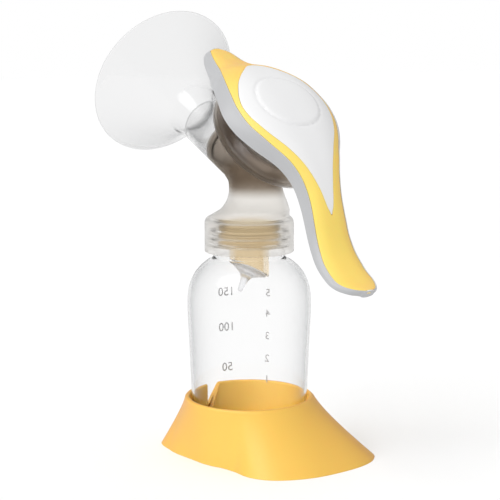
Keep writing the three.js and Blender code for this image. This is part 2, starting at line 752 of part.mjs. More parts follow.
function fromDrawn(a) {
  const [reach, drawn] = a < 0 ? [TIP_REACH, DRAWN.tipReach] : [LEVER_REACH, DRAWN.leverReach];
  return stretched(a, DRAWN.flange, drawn, FLANGE_RADIUS, reach);
}

const across = FLANGE_RADIUS / DRAWN.flange;
const lift = BOWL_RIM_HEIGHT - DRAWN.rim;
const width = (pairs) => {
  const drawn = smooth(pairs);
  return (a) => drawn(along(a)) * across;
};
const height = (pairs) => {
  const drawn = smooth(pairs);
  return (a) => drawn(along(a)) + lift;
};

// Outline of the handle at a place along the lever: half widths and heights of the side wall's two edges,
// and the height of the crown on the middle line.
const lowWidth = width([
  [-58.6, 3.2], [-57, 6.2], [-53, 8.5], [-46, 10.6], [-38, 13.6], [-30, 18.8], [-20, 25.2], [-10, 29.2],
  [0, 31.4], [10, 29.8], [20, 25], [30, 18.2], [40, 13.2], [50, 11.4], [62, 11.2], [72, 11.7], [80, 12.2],
  [88, 12.2], [92, 11.3], [95, 9.5], [97.5, 7], [99.5, 3.4],
]);
const lowHeight = height([
  [-58.6, 15.8], [-54, 15.2], [-46, 15.8], [-38, 18.2], [-30, 22.6], [-20, 29.6], [-10, 32.8], [0, 33.8],
  [10, 33.8], [20, 34.2], [30, 34.4], [40, 32.4], [50, 28.4], [60, 23.9], [65, 21.8], [70, 20.4],
  [76, 19.5], [82, 19.7], [88, 20.9], [93, 22.6], [97, 24.6], [99.5, 26],
]);
const highWidth = width([
  [-58.6, 1.8], [-57, 4.8], [-53, 6.9], [-46, 9.1], [-38, 12.4], [-30, 17.6], [-20, 22.6], [-10, 25.3],
  [0, 26.6], [10, 25.4], [20, 21.2], [30, 15.9], [40, 11.7], [50, 9.7], [62, 9.6], [72, 10.1], [80, 10.7],
  [88, 10.7], [92, 9.8], [95, 7.9], [97.5, 5.4], [99.5, 2.2],
]);
const highHeight = height([
  [-58.6, 18.8], [-54, 20.2], [-46, 22.6], [-38, 26.4], [-30, 31.8], [-20, 36.6], [-10, 38.6], [0, 39.4],
  [10, 39.8], [20, 40.4], [30, 40.4], [40, 38.4], [50, 34.1], [60, 29], [65, 26.4], [70, 24.5], [76, 23.1],
  [82, 22.9], [88, 23.8], [93, 25.6], [97, 28], [99.5, 29.6],
]);
const crownHeight = height([
  [-58.6, 19.2], [-54, 20.8], [-46, 24.2], [-39, 28.6], [-30, 36], [-20, 41], [-10, 44], [0, 45.2],
  [10, 45.4], [20, 44.7], [30, 43.2], [40, 40.6], [50, 36.7], [60, 31.4], [65, 28.7], [70, 26.6],
  [76, 25], [82, 24.6], [88, 25.2], [93, 26.6], [97, 28.6], [99.5, 30],
]);
const capWidth = width([
  [-31.5, 0.5], [-30.4, 3.6], [-28.5, 6.2], [-25.5, 9.4], [-21, 14], [-16, 18.2], [-11, 21], [-6, 23],
  [0, 24], [6, 23.3], [12, 21.2], [17.5, 18.6], [22.5, 15.6], [27, 12.8], [37, 7.6], [47, 3.9], [52, 2.6],
  [55.5, 1.6], [58.4, 0.4],
]);

const SHARES = [
  -1, -0.975, -0.91, -0.785, -0.65, -0.53, -0.41, -0.27, -0.14, 0, 0.08, 0.16, 0.24, 0.32, 0.4, 0.48, 0.56,
  0.65, 0.74, 0.82, 0.89, 0.935, 0.965, 0.985, 1,
];
const CROWN_SHARE = [1, 0.92, 0.78, 0.55, 0.28, 0];

// Places along the lever, from one end to the other, short of both by `inset`.
function stations(inset) {
  return SHARES.map((share) => (share < 0 ? -share * (TIP + inset) : share * (LEVER_END - inset)));
}

// Height of the top surface, a share of the half width out from the middle line.
function topHeight(a, share) {
  const crown = crownHeight(a);
  return crown - (crown - highHeight(a)) * Math.abs(share) ** 3.2;
}

// The top surface from the near edge to the far one, pulled in by one amount and sunk by another.
function topLine(a, inset, sink) {
  const half = Math.max(highWidth(a) - inset, 0.6);
  const shares = [...CROWN_SHARE.map((share) => -share), ...CROWN_SHARE.slice(0, -1).toReversed()];
  return shares.map((share) => new THREE.Vector3(a, share * half, topHeight(a, share) - sink));
}

// A closed ring of the frame, pulled in by `inset`: the top line sunk by `sink`, the two side walls, and
// the underside sunk by `drop`.
function frameRing(a, inset, sink, drop) {
  const low = Math.max(lowWidth(a) - inset, 0.9);
  const middle = Math.max((lowWidth(a) + highWidth(a)) / 2 + 0.5 - inset, 0.8);
  const base = lowHeight(a) - drop;
  const waist = (lowHeight(a) + highHeight(a)) / 2;
  const side = (sign) => [
    new THREE.Vector3(a, sign * middle, waist - sink / 2),
    new THREE.Vector3(a, sign * low, base),
  ];
  const belly = [0.6, 0, -0.6].map(
    (share) => new THREE.Vector3(a, share * low, base - 1.1 * (1 - share ** 2)),
  );
  return [...topLine(a, inset, sink), ...side(1), ...belly, ...side(-1).toReversed()];
}

// The layer inside the frame's lip: from `raise` above the top surface to `depth` below it.
function topLayer(inset, raise, depth) {
  const rings = stations(inset).map((a) => [
    ...topLine(a, inset, -raise),
    ...topLine(a, inset, depth).toReversed(),
  ]);
  return solid(lofted(rings));
}

function handleShell() {
  const deck = LAYER + GAP;
  const ceiling = deck + FRAME_WALL;
  const bed = topLayer(LIP - GAP, 1, deck);
  const outer = solid(lofted(stations(0).map((a) => frameRing(a, 0, 0, 0)))).subtract(bed);
  const hollow = stations(0).filter((a) => a > TIP * 0.68 && a < FLANGE_RADIUS * 1.3);
  const inner = solid(lofted(hollow.map((a) => frameRing(a, FRAME_WALL, ceiling, 12))));
  const column = cylinder(FLANGE_RADIUS + 1.3, 0, 2 * BOWL_RIM_HEIGHT).rotateY(TIPPED);
  const flangeTop = FLANGE_HEIGHT + FLANGE_THICKNESS + GAP;
  const bowlRoom = turned([
    [0, 0],
    [FLANGE_RADIUS + GAP, 0],
    [FLANGE_RADIUS + GAP, flangeTop],
    [BOWL_RADIUS + GAP, flangeTop],
    [BOWL_RADIUS + GAP, BOWL_RIM_HEIGHT + GAP],
    [0, BOWL_RIM_HEIGHT + GAP],
  ]).rotateY(TIPPED);
  const shell = outer.subtract(inner.intersect(solid(column))).subtract(solid(bowlRoom));

  const earTop = crownHeight(PIN_HEIGHT * Math.sin(TIPPED)) - ceiling + FRAME_WALL / 2;
  const ears = [-1, 1].map((side) => {
    const near = side * EAR_START;
    const far = side * (EAR_START + EAR_THICKNESS);
    const ear = block(
      [-EAR_WIDTH / 2, Math.min(near, far), PIN_HEIGHT - EAR_WIDTH / 2 + 0.7],
      [EAR_WIDTH / 2, Math.max(near, far), earTop],
    );
    return solid(ear.rotateY(TIPPED));
  });
  // Two pads inside the shell stand on the bowl's rim; the handle rocks on the one at the lever's side.
  const pads = [-1, 1].map((side) => {
    const middle = side * (BOWL_RIM_RADIUS - CONNECTOR_WALL / 2);
    const a = middle * Math.cos(TIPPED) + BOWL_RIM_HEIGHT * Math.sin(TIPPED);
    const inDeck = (crownHeight(a) - deck - 1) * Math.cos(TIPPED) + a * Math.sin(TIPPED);
    const pad = block(
      [middle - PAD_THICKNESS / 2, -PAD_WIDTH / 2, BOWL_RIM_HEIGHT + GAP],
      [middle + PAD_THICKNESS / 2, PAD_WIDTH / 2, inDeck],
    );
    return solid(pad.rotateY(TIPPED));
  });
  const bar = crossBar(PIN_RADIUS + PIN_CLEARANCE, -PIN_END - 1, PIN_END + 1);
  const holes = solid(bar.rotateY(TIPPED));
  return [...ears, ...pads].reduce((sum, piece) => sum.add(piece), shell).subtract(holes);
}

// A prism over the cap's outline, grown by `margin`.
function capPrism(margin) {
  const outline = new THREE.Shape();
  const steps = 32;
  const back = fromDrawn(DRAWN.back);
  const point = fromDrawn(DRAWN.point);
  const at = (i, side) => {
    const share = (1 - Math.cos((Math.PI * i) / steps)) / 2;
    const a = back + (point - back) * share;
    return [a + margin * (2 * share - 1), side * Math.max(capWidth(a) + margin, 0.2)];
  };
  outline.moveTo(...at(0, -1));
  for (let i = 1; i <= steps; i++) outline.lineTo(...at(i, -1));
  for (let i = steps; i >= 0; i--) outline.lineTo(...at(i, 1));
  return solid(new THREE.ExtrudeGeometry(outline, { depth: 2 * BOWL_RIM_HEIGHT, bevelEnabled: false }));
}

const layer = topLayer(LIP, 0, LAYER);
const disc = solid(cylinder(BADGE_RADIUS, 0, 2 * BOWL_RIM_HEIGHT));
const badge = topLayer(LIP, BADGE_HEIGHT, LAYER).intersect(disc);
const grip = layer.subtract(capPrism(GAP / 2));
const cap = layer.intersect(capPrism(-GAP / 2)).add(badge);

handleFrame.add(named("handle_frame", handleShell(), GREY, 0.45));
handleFrame.add(named("handle_grip", grip, YELLOW, 0.5));
handleFrame.add(named("handle_cap", cap, WHITE, 0.4));

export default pump;
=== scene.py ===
import json
import math

import bpy
from mathutils import Matrix, Vector


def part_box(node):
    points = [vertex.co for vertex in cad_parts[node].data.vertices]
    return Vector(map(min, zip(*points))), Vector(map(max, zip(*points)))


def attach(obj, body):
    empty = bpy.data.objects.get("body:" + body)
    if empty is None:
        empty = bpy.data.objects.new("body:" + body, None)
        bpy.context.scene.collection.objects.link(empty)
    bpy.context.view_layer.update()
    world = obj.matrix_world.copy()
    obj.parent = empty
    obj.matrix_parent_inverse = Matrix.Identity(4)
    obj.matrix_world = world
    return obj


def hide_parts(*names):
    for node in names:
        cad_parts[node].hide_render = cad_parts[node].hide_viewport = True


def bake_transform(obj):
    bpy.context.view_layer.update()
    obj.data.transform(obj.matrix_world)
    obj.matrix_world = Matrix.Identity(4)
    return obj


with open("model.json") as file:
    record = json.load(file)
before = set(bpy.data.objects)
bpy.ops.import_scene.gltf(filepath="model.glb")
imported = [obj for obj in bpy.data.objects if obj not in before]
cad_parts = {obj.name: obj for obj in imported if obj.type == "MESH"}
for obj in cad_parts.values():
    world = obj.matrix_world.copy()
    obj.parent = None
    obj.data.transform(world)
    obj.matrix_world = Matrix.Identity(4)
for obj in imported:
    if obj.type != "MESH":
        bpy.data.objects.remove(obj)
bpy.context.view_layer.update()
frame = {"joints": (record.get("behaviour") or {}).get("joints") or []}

# ------------------------------------------------------------------ camera, floor and light
# The pump stands on a white sheet that fills the view, under one large soft light from high on the left.
# The camera looks slightly down on it from the lever's side.


def add_node(tree, kind, inputs=None, **settings):
    """Adds a shader node with its settings, and gives each of its named inputs a value or a socket."""
    node = tree.nodes.new("ShaderNode" + kind)
    for setting, value in settings.items():
        setattr(node, setting, value)
    for label, value in (inputs or {}).items():
        if isinstance(value, bpy.types.NodeSocket):
            tree.links.new(value, node.inputs[label])
        else:
            node.inputs[label].default_value = value
    return node


def calculate(tree, operation, first, second=0.0):
    """The result's socket of a Math node on two values or sockets."""
    return add_node(tree, "Math", {0: first, 1: second}, operation=operation).outputs["Value"]


def mix_colours(tree, share, first, second, name="mixed"):
    """A node that mixes two colours or colour sockets by a share."""
    given = {"Factor": share}
    for label, colour in (("A", first), ("B", second)):
        given[label] = colour if isinstance(colour, bpy.types.NodeSocket) else (*colour, 1)
    return add_node(tree, "Mix", given, name=name, data_type="RGBA")


CAMERA_PLACE = (0.54206, -0.38418, 0.2032)
LOOKS_DOWN = math.radians(8.717)
LOOKS_ROUND = math.radians(54.642)
bpy.ops.object.select_all(action="DESELECT")
bpy.ops.object.camera_add(location=CAMERA_PLACE, rotation=(math.pi / 2 - LOOKS_DOWN, 0, LOOKS_ROUND))
camera = bpy.context.object
camera.data.lens = 98.93
camera.data.sensor_width = 36
camera.data.clip_start = 0.01
bpy.context.scene.camera = camera

bpy.ops.mesh.primitive_plane_add(size=12, location=(0, 0, 0))
floor = bpy.context.object
floor.name = "floor"
floor_white = bpy.data.materials.new("floor_white")
floor_white.use_nodes = True
shader = floor_white.node_tree.nodes["Principled BSDF"]
shader.inputs["Base Color"].default_value = (0.93, 0.93, 0.93, 1)
shader.inputs["Roughness"].default_value = 0.9
shader.inputs["Emission Color"].default_value = (1, 1, 1, 1)
shader.inputs["Emission Strength"].default_value = 0.07
floor.data.materials.append(floor_white)

# The sheet behind is white, but it lights and mirrors more dimly than it looks, as a far wall does.
world = bpy.data.worlds.new("studio")
bpy.context.scene.world = world
world.use_nodes = True
LIGHTS_AS, LOOKS_AS = 0.6, 1.0
sky = world.node_tree
ray_kind = add_node(sky, "LightPath").outputs
seen = calculate(sky, "MAXIMUM", ray_kind["Is Camera Ray"], ray_kind["Is Transmission Ray"])
level = add_node(sky, "MapRange", {"Value": seen, "To Min": LIGHTS_AS, "To Max": LOOKS_AS})
backdrop = sky.nodes["Background"]
backdrop.inputs["Color"].default_value = (1, 1, 1, 1)
sky.links.new(level.outputs["Result"], backdrop.inputs["Strength"])
bpy.context.scene.view_settings.view_transform = "Standard"

LIGHT_WAY = Vector((-0.085, 0.918, -1.0))
bpy.ops.object.light_add(type="SUN", location=(0.1, -0.9, 1))
key_light = bpy.context.object
key_light.name = "key_light"
key_light.data.energy = 1.9
key_light.data.angle = math.radians(50)
key_light.rotation_euler = LIGHT_WAY.to_track_quat("-Z", "Y").to_euler()

# ------------------------------------------------------------------ bottle stand
# A cup for the bottle with a skirt that flares into a foot of one long and two short lobes. One injection
# moulding in satin yellow plastic, open underneath, with a V-shaped notch through the wall at the back.

MM = 0.001
AXIS = 0.01  # the radius, in mm, of the tiny ring that closes a turned piece at its middle


def smooth_through(pairs):
    """A function that passes smoothly through (x, value) pairs and is flat beyond them."""

    def slope(i):
        if i in (0, len(pairs) - 1):
            return 0
        (x0, v0), (_, v), (x1, v1) = pairs[i - 1 : i + 2]
        return 0 if (v - v0) * (v1 - v) <= 0 else (v1 - v0) / (x1 - x0)

    slopes = [slope(i) for i in range(len(pairs))]

    def value(x):
        if x <= pairs[0][0]:
            return pairs[0][1]
        for i in range(len(pairs) - 1):
            (x0, v0), (x1, v1) = pairs[i], pairs[i + 1]
            if x < x1:
                run = x1 - x0
                t = (x - x0) / run
                keep = v0 * (1 + 2 * t) * (1 - t) ** 2 + v1 * t * t * (3 - 2 * t)
                return keep + run * (slopes[i] * t * (1 - t) ** 2 + slopes[i + 1] * t * t * (t - 1))
        return pairs[-1][1]

    return value


def select_only(piece):
    bpy.ops.object.select_all(action="DESELECT")
    piece.select_set(True)
    bpy.context.view_layer.objects.active = piece


def ring_stack(name, rings, closed=False):
    """Rings of equally many (x, y, z) points in mm, skinned: a circle extruded ring by ring in edit mode.

    closed joins the last ring to the first. Otherwise both ends are capped."""
    bpy.ops.object.select_all(action="DESELECT")
    count = len(rings[0])
    bpy.ops.mesh.primitive_circle_add(vertices=count, radius=1)
    piece = bpy.context.object
    piece.name = name
    bpy.ops.object.mode_set(mode="EDIT")
    if not closed:
        bpy.ops.mesh.edge_face_add()
    loops = list(rings) + ([rings[0]] if closed else [])
    for _ in loops[1:]:
        bpy.ops.mesh.extrude_region_move(TRANSFORM_OT_translate={"value": (0, 0, 1)})
    bpy.ops.object.mode_set(mode="OBJECT")
    corners = piece.data.vertices
    for r, ring in enumerate(loops):
        for i, point in enumerate(ring):
            corners[r * count + i].co = Vector(point) * MM
    bpy.ops.object.mode_set(mode="EDIT")
    bpy.ops.mesh.select_all(action="SELECT")
    bpy.ops.mesh.remove_doubles(threshold=1e-7)
    bpy.ops.mesh.normals_make_consistent(inside=False)
    bpy.ops.object.mode_set(mode="OBJECT")
    return piece


def circle(radius, z, sides, shift=0.0):
    turn = 2 * math.pi / sides
    return [(shift + radius * math.cos(i * turn), radius * math.sin(i * turn), z) for i in range(sides)]


def combine(piece, tool, operation):
    """Joins or cuts piece with tool, which is used up."""
    select_only(piece)
    change = piece.modifiers.new(operation.lower(), "BOOLEAN")
    change.operation = operation
    change.solver = "MANIFOLD"
    change.object = tool
    bpy.ops.object.modifier_apply(modifier=change.name)
    bpy.data.objects.remove(tool)


def smooth_shade(piece, degrees=35):
    select_only(piece)
    bpy.ops.object.shade_smooth_by_angle(angle=math.radians(degrees))


def finish_with(piece, material, slot, body, *nodes):
    """Gives a finished piece its material and the CAD body and nodes that it stands for."""
    piece.data.materials.clear()
    piece.data.materials.append(material)
    if nodes:
        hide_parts(*nodes)
    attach(piece, body)


def moulded_surface():
    """Node group: the faint unevenness of a moulded surface, as a roughness, a normal and a mask."""
    group = bpy.data.node_groups.new("moulded_surface", "ShaderNodeTree")
    for label, default in (("Grain Size", 900.0), ("Roughness", 0.4), ("Relief", 0.05)):
        socket = group.interface.new_socket(label, in_out="INPUT", socket_type="NodeSocketFloat")
        socket.default_value = default
    group.interface.new_socket("Roughness", in_out="OUTPUT", socket_type="NodeSocketFloat")
    group.interface.new_socket("Normal", in_out="OUTPUT", socket_type="NodeSocketVector")
    group.interface.new_socket("Mottle", in_out="OUTPUT", socket_type="NodeSocketFloat")
    given = group.nodes.new("NodeGroupInput").outputs
    result = group.nodes.new("NodeGroupOutput").inputs
    place = add_node(group, "TexCoord").outputs["Object"]
    grain = add_node(group, "TexNoise", {"Vector": place, "Scale": given["Grain Size"], "Detail": 3})
    broad = add_node(group, "TexNoise", {"Vector": place, "Scale": 28, "Detail": 2}).outputs["Fac"]
    spread = add_node(group, "MapRange", {"Value": broad, "To Min": -0.05, "To Max": 0.05}).outputs["Result"]
    relief = {"Height": grain.outputs["Fac"], "Strength": given["Relief"], "Distance": 0.0002}
    bump = add_node(group, "Bump", relief)
    group.links.new(calculate(group, "ADD", given["Roughness"], spread), result["Roughness"])
    group.links.new(bump.outputs["Normal"], result["Normal"])
    group.links.new(broad, result["Mottle"])
    return group


moulded = moulded_surface()


def plastic(name, roughness, relief):
    """A new material whose roughness and normal come from the moulded surface, and its surface node."""
    material = bpy.data.materials.new(name)
    material.use_nodes = True
    tree = material.node_tree
    surface = add_node(
        tree, "Group", {"Roughness": roughness, "Relief": relief}, name="surface", node_tree=moulded
    )
    for label in ("Roughness", "Normal"):
        tree.links.new(surface.outputs[label], tree.nodes["Principled BSDF"].inputs[label])
    return material, surface


def seen_edge_on(tree, power):
    """A share that grows from 0, where a surface is seen face-on, to 1, where it is seen edge-on."""
    facing = add_node(tree, "LayerWeight", {"Blend": 0.5}).outputs["Facing"]
    return calculate(tree, "POWER", facing, power)


def satin_plastic(name, colour, roughness, relief=0.05, glow=0.0, edge=None):
    """Opaque moulded plastic that mottles very slightly and may turn to an edge colour at its flanks, as
    painted shade.
    """
    material, surface = plastic(name, roughness, relief)
    tree = material.node_tree
    darker = [c * 0.97 for c in colour]
    mottled = mix_colours(tree, surface.outputs["Mottle"], darker, colour).outputs["Result"]
    # Painted shade: the colour turns to the edge colour where the surface is seen edge-on.
    tone = mix_colours(tree, seen_edge_on(tree, 1.6), mottled, edge or colour).outputs["Result"]
    shader = tree.nodes["Principled BSDF"]
    tree.links.new(tone, shader.inputs["Base Color"])
    shader.inputs["Subsurface Weight"].default_value = glow
    shader.inputs["Subsurface Scale"].default_value = 0.0012
    return material


STAND_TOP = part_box("bottle_stand")[1].z / MM
STAND_RIM = 31.8
CUP_RADIUS = 29.4
CUP_FLOOR = STAND_TOP - 19.1
STAND_WALL = 2.4
RIM_THICKNESS = STAND_RIM - CUP_RADIUS
FLARE = 1.15  # over 1, the skirt falls steeply first and spreads towards its foot
FOOT = [  # the foot's radius at angles in degrees from the lever's side
    (-144, 47), (-126, 40), (-99, 32.6), (-64, 32), (-47, 36), (-36, 43.7), (-24, 49.3), (-5, 53.3),
    (15, 56.8), (36, 62.6), (44, 63), (60, 55), (80, 40), (100, 38), (125, 44), (155, 46), (185, 44),
]
foot_radius = smooth_through([(angle + turn, size) for turn in (-360, 0, 360) for angle, size in FOOT])
STAND_SIDES = 240
SKIRT_STEPS = 24


def skirt_ring(z, inset):
    down = min(max(1 - z / STAND_TOP, 0), 1)
    ring = []
    for i in range(STAND_SIDES):
        degrees = 360 * i / STAND_SIDES
        flare = max(foot_radius(degrees if degrees <= 180 else degrees - 360) - STAND_RIM, 0)
        radius = STAND_RIM + flare * down**FLARE - inset
        angle = math.radians(degrees)
        ring.append((radius * math.cos(angle), radius * math.sin(angle), z))
    return ring


RIM_ROUND = 1.0
skirt_top = STAND_TOP - RIM_ROUND
skirt_heights = [skirt_top - skirt_top * i / SKIRT_STEPS for i in range(SKIRT_STEPS + 1)]
half_rim = RIM_THICKNESS / 2
cup_line = [
    (AXIS, CUP_FLOOR), (CUP_RADIUS - 1, CUP_FLOOR),
    (CUP_RADIUS - 0.3, CUP_FLOOR + 0.3), (CUP_RADIUS, CUP_FLOOR + 1),
]
cup_line += [
    (CUP_RADIUS + half_rim + half_rim * math.sin(t), skirt_top + RIM_ROUND * math.cos(t))
    for t in (-1.4, -0.9, -0.3, 0.3, 0.8, 1.2)
]
stand = ring_stack(
    "bottle_stand_shell",
    [circle(radius, z, STAND_SIDES) for radius, z in cup_line]
    + [skirt_ring(z, 0) for z in skirt_heights[:-1]]
    + [skirt_ring(0.3, 0), skirt_ring(0, 0.3), circle(AXIS, 0, STAND_SIDES)],
)

# The hollow under the skirt leaves the cup, a boss in the middle and a cross of ribs standing.
UNDERSIDE = CUP_FLOOR - STAND_WALL
BOSS_RADIUS = 6
RIB_THICKNESS = 1.6
RIB_FOOT = 1.5
HOLLOW_TOP = STAND_TOP - 5.5
hollow_rings = [[(x, y, -1) for x, y, _ in skirt_ring(0, STAND_WALL)]]
hollow_rings += [skirt_ring(z, STAND_WALL) for z in skirt_heights[::-1] if z < HOLLOW_TOP]
under = ring_stack("under", hollow_rings)
for radius, foot, top in ((STAND_RIM, UNDERSIDE, STAND_TOP), (BOSS_RADIUS, -2, UNDERSIDE + 1)):
    combine(under, ring_stack("kept", [circle(radius, z, 96) for z in (foot, top)]), "DIFFERENCE")
for turn in (0, 90):
    bpy.ops.object.select_all(action="DESELECT")
    bpy.ops.mesh.primitive_cube_add(size=1, location=(0, 0, 0))
    rib = bpy.context.object
    rib.scale = (2 * CUP_RADIUS * MM, RIB_THICKNESS * MM, (UNDERSIDE + 1 - RIB_FOOT) * MM)
    rib.rotation_euler.z = math.radians(turn)
    rib.location.z = (RIB_FOOT + UNDERSIDE + 1) / 2 * MM
    bpy.ops.object.transform_apply(location=True, rotation=True, scale=True)
    combine(under, rib, "DIFFERENCE")
combine(stand, under, "DIFFERENCE")

# The notch: one side upright, the other slanting in, cut through rim, cup and skirt.
NOTCH = [(-6.4, 3), (-6.4, -12.6), (-5.6, -13.6), (-4.6, -13.2), (-2.5, -11.8), (2.9, 3)]
notch_cut = ring_stack(
    "notch_cut", [[(x, y, STAND_TOP + z) for y, z in NOTCH] for x in (-CUP_RADIUS + 8, -CUP_RADIUS - 22)]
)
combine(stand, notch_cut, "DIFFERENCE")
smooth_shade(stand, 40)
# The stand's orange flanks are painted shade.
stand_yellow = satin_plastic(
    "stand_yellow", (0.94, 0.58, 0.105), 0.44, relief=0.04, glow=0.2, edge=(0.66, 0.29, 0.038)
)
finish_with(stand, stand_yellow, "stand_plastic", "stand", "bottle_stand")

# ------------------------------------------------------------------ bottle
# A clear polypropylene bottle, blow moulded with a threaded neck. Its scale is printed on the back in
# grey, so it reads from behind and shows mirrored through the front.


def place_on(frame_matrix, piece):
    """Moves a piece's mesh into a frame and leaves its object at the origin."""
    piece.matrix_world = frame_matrix @ piece.matrix_world
    select_only(piece)
    bpy.ops.object.transform_apply(location=True, rotation=True, scale=True)
    return piece


def turned_shell(name, profile, sides, frame_matrix=Matrix.Identity(4), closed=True):
    """A turned piece from (radius, height) points in mm, placed on a frame.

    closed joins the profile's end to its start. Otherwise the profile runs from axis to axis."""
    piece = ring_stack(name, [circle(max(radius, AXIS), z, sides) for radius, z in profile], closed)
    return place_on(frame_matrix, piece)


def curve_points(start, pull_out, pull_in, end, steps):
    """Points on a cubic curve between two (radius, height) points, the first left out."""
    points = []
    for i in range(1, steps + 1):
        t = i / steps
        weights = ((1 - t) ** 3, 3 * t * (1 - t) ** 2, 3 * t * t * (1 - t), t**3)
        handles = (start, pull_out, pull_in, end)
        points.append(tuple(sum(w * p[k] for w, p in zip(weights, handles)) for k in (0, 1)))
    return points


def arc_points(radius, height, size, first, last, steps):
    """Points on a circular arc of a profile. Angles run from outwards to upwards, in degrees."""
    angles = [math.radians(first + (last - first) * i / steps) for i in range(steps + 1)]
    return [(radius + size * math.cos(a), height + size * math.sin(a)) for a in angles]


DEEPEST_BEND = 6


def clear_plastic(name, middle, edge, roughness, ior, edge_power, shadow=(0.93, 0.93, 0.93)):
    """See-through plastic whose tint darkens where it is seen edge-on, a painted reflection of dark
    surroundings.

    Shadow rays, and rays that have already bent several times, pass it straight."""
    material, _ = plastic(name, roughness, 0.02)
    tree = material.node_tree
    # Painted reflection: the tint turns to the edge colour where the surface is seen edge-on, for the dark
    # surroundings it would mirror.
    tint = mix_colours(tree, seen_edge_on(tree, edge_power), middle, edge, "edge_tint")
    shader = tree.nodes["Principled BSDF"]
    shader.inputs["Transmission Weight"].default_value = 1
    shader.inputs["IOR"].default_value = ior
    tree.links.new(tint.outputs["Result"], shader.inputs["Base Color"])
    path = add_node(tree, "LightPath").outputs
    deep = calculate(tree, "GREATER_THAN", path["Transmission Depth"], DEEPEST_BEND)
    straight = calculate(tree, "MAXIMUM", path["Is Shadow Ray"], deep)
    passing = add_node(tree, "BsdfTransparent", {"Color": (*shadow, 1)}).outputs["BSDF"]
    seen_through = add_node(tree, "MixShader", {0: straight, 1: shader.outputs["BSDF"], 2: passing})
    tree.links.new(seen_through.outputs["Shader"], tree.nodes["Material Output"].inputs["Surface"])
    return material


HUB_HEIGHT = 144
HUB = Vector((0, 0, HUB_HEIGHT)) * MM
UP = Vector((0, 0, 1))


def ramp_along():
    """Node group: a mask that rises from 0 to 1 along a direction, between two distances in metres."""
    group = bpy.data.node_groups.new("ramp_along", "ShaderNodeTree")
    group.interface.new_socket("Direction", in_out="INPUT", socket_type="NodeSocketVector")
    for label in ("From", "Full"):
        group.interface.new_socket(label, in_out="INPUT", socket_type="NodeSocketFloat")
    group.interface.new_socket("Mask", in_out="OUTPUT", socket_type="NodeSocketFloat")
    given = group.nodes.new("NodeGroupInput").outputs
    result = group.nodes.new("NodeGroupOutput").inputs
    place = add_node(group, "TexCoord").outputs["Object"]
    reach = add_node(group, "VectorMath", {0: place, 1: given["Direction"]}, operation="DOT_PRODUCT")
    limits = {"From Min": given["From"], "From Max": given["Full"]}
    rise = add_node(group, "MapRange", {"Value": reach.outputs["Value"], **limits})
    group.links.new(rise.outputs["Result"], result["Mask"])
    return group


ramp = ramp_along()


def mask_along(material, direction, start, full):
    """A mask's socket in a material: 0 to 1 between two places along a direction, in mm from the hub."""
    from_hub = HUB.dot(direction)
    given = {"Direction": direction, "From": from_hub + start * MM, "Full": from_hub + full * MM}
    return add_node(material.node_tree, "Group", given, node_tree=ramp).outputs["Mask"]


BOTTLE_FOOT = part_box("bottle")[0].z / MM
BOTTLE_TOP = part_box("bottle")[1].z / MM
BOTTLE_WALL = 1.2
BOTTLE_RADIUS = 30.4
BOTTLE_CORNER = 4
SHOULDER_START = BOTTLE_FOOT + 66
NECK_START = BOTTLE_FOOT + 88.3
NECK_RADIUS = 17.3
THREAD = 1.3
BEAD_ROUND = 0.5
THREAD_LEVELS = (BOTTLE_TOP - 8.5, BOTTLE_TOP - 4.5)


def bottle_outside(inset):
    """The body's outside from the corner of the base to the neck, or its inside when inset."""
    line = arc_points(28 - BOTTLE_CORNER, BOTTLE_FOOT + BOTTLE_CORNER, BOTTLE_CORNER - inset, -90, 0, 6)
    line += [(radius - inset, BOTTLE_FOOT + rise) for radius, rise in ((28.35, 12), (28.7, 23), (29.55, 44))]
    line += [(BOTTLE_RADIUS - inset, SHOULDER_START - 4), (BOTTLE_RADIUS - inset, SHOULDER_START)]
    shoulder = curve_points(
        (BOTTLE_RADIUS, SHOULDER_START), (BOTTLE_RADIUS, SHOULDER_START + 11),
        (BOTTLE_RADIUS - 4, NECK_START - 5), (NECK_RADIUS + 0.4, NECK_START), 14,
    )
    line += [(radius - inset, z - inset * 0.4) for radius, z in shoulder]
    return line + [(NECK_RADIUS - inset, NECK_START + 1)]


bottle_beads = []
for level in THREAD_LEVELS:
    bead = arc_points(NECK_RADIUS + THREAD - BEAD_ROUND, level, BEAD_ROUND, -70, 70, 4)
    bottle_beads += [(NECK_RADIUS, level - 1), *bead, (NECK_RADIUS, level + 1)]
half_wall = BOTTLE_WALL / 2
bottle_profile = (
    [(0, BOTTLE_FOOT + 1.8), (17, BOTTLE_FOOT + 1.8), (18.6, BOTTLE_FOOT + 1), (20, BOTTLE_FOOT + 0.1)]
    + bottle_outside(0)
    + bottle_beads
    + arc_points(NECK_RADIUS - half_wall, BOTTLE_TOP - half_wall, half_wall, 0, 180, 6)
    + bottle_outside(BOTTLE_WALL)[::-1]
    + [(20.2, BOTTLE_FOOT + 1.3), (18.8, BOTTLE_FOOT + 2.2), (17.2, BOTTLE_FOOT + 3), (0, BOTTLE_FOOT + 3)]
)
bottle = turned_shell("bottle_shell", bottle_profile, 128)
smooth_shade(bottle, 40)
bottle_clear = clear_plastic("bottle_clear", (0.975, 0.975, 0.975), (0.40, 0.41, 0.42), 0.04, 1.2, 2.2)


def soften_edge_tint(material, direction, start, full, keep):
    """Lets a clear plastic darken less where it is seen edge-on, beyond a place along a direction: less
    painted reflection there.
    """
    tree = material.node_tree
    share = tree.nodes["edge_tint"].inputs["Factor"]
    mask = mask_along(material, direction, start, full)
    kept = add_node(tree, "MapRange", {"Value": mask, "To Min": 1, "To Max": keep}).outputs["Result"]
    tree.links.new(calculate(tree, "MULTIPLY", share.links[0].from_socket, kept), share)


NECK_FROM_HUB = NECK_START - HUB_HEIGHT
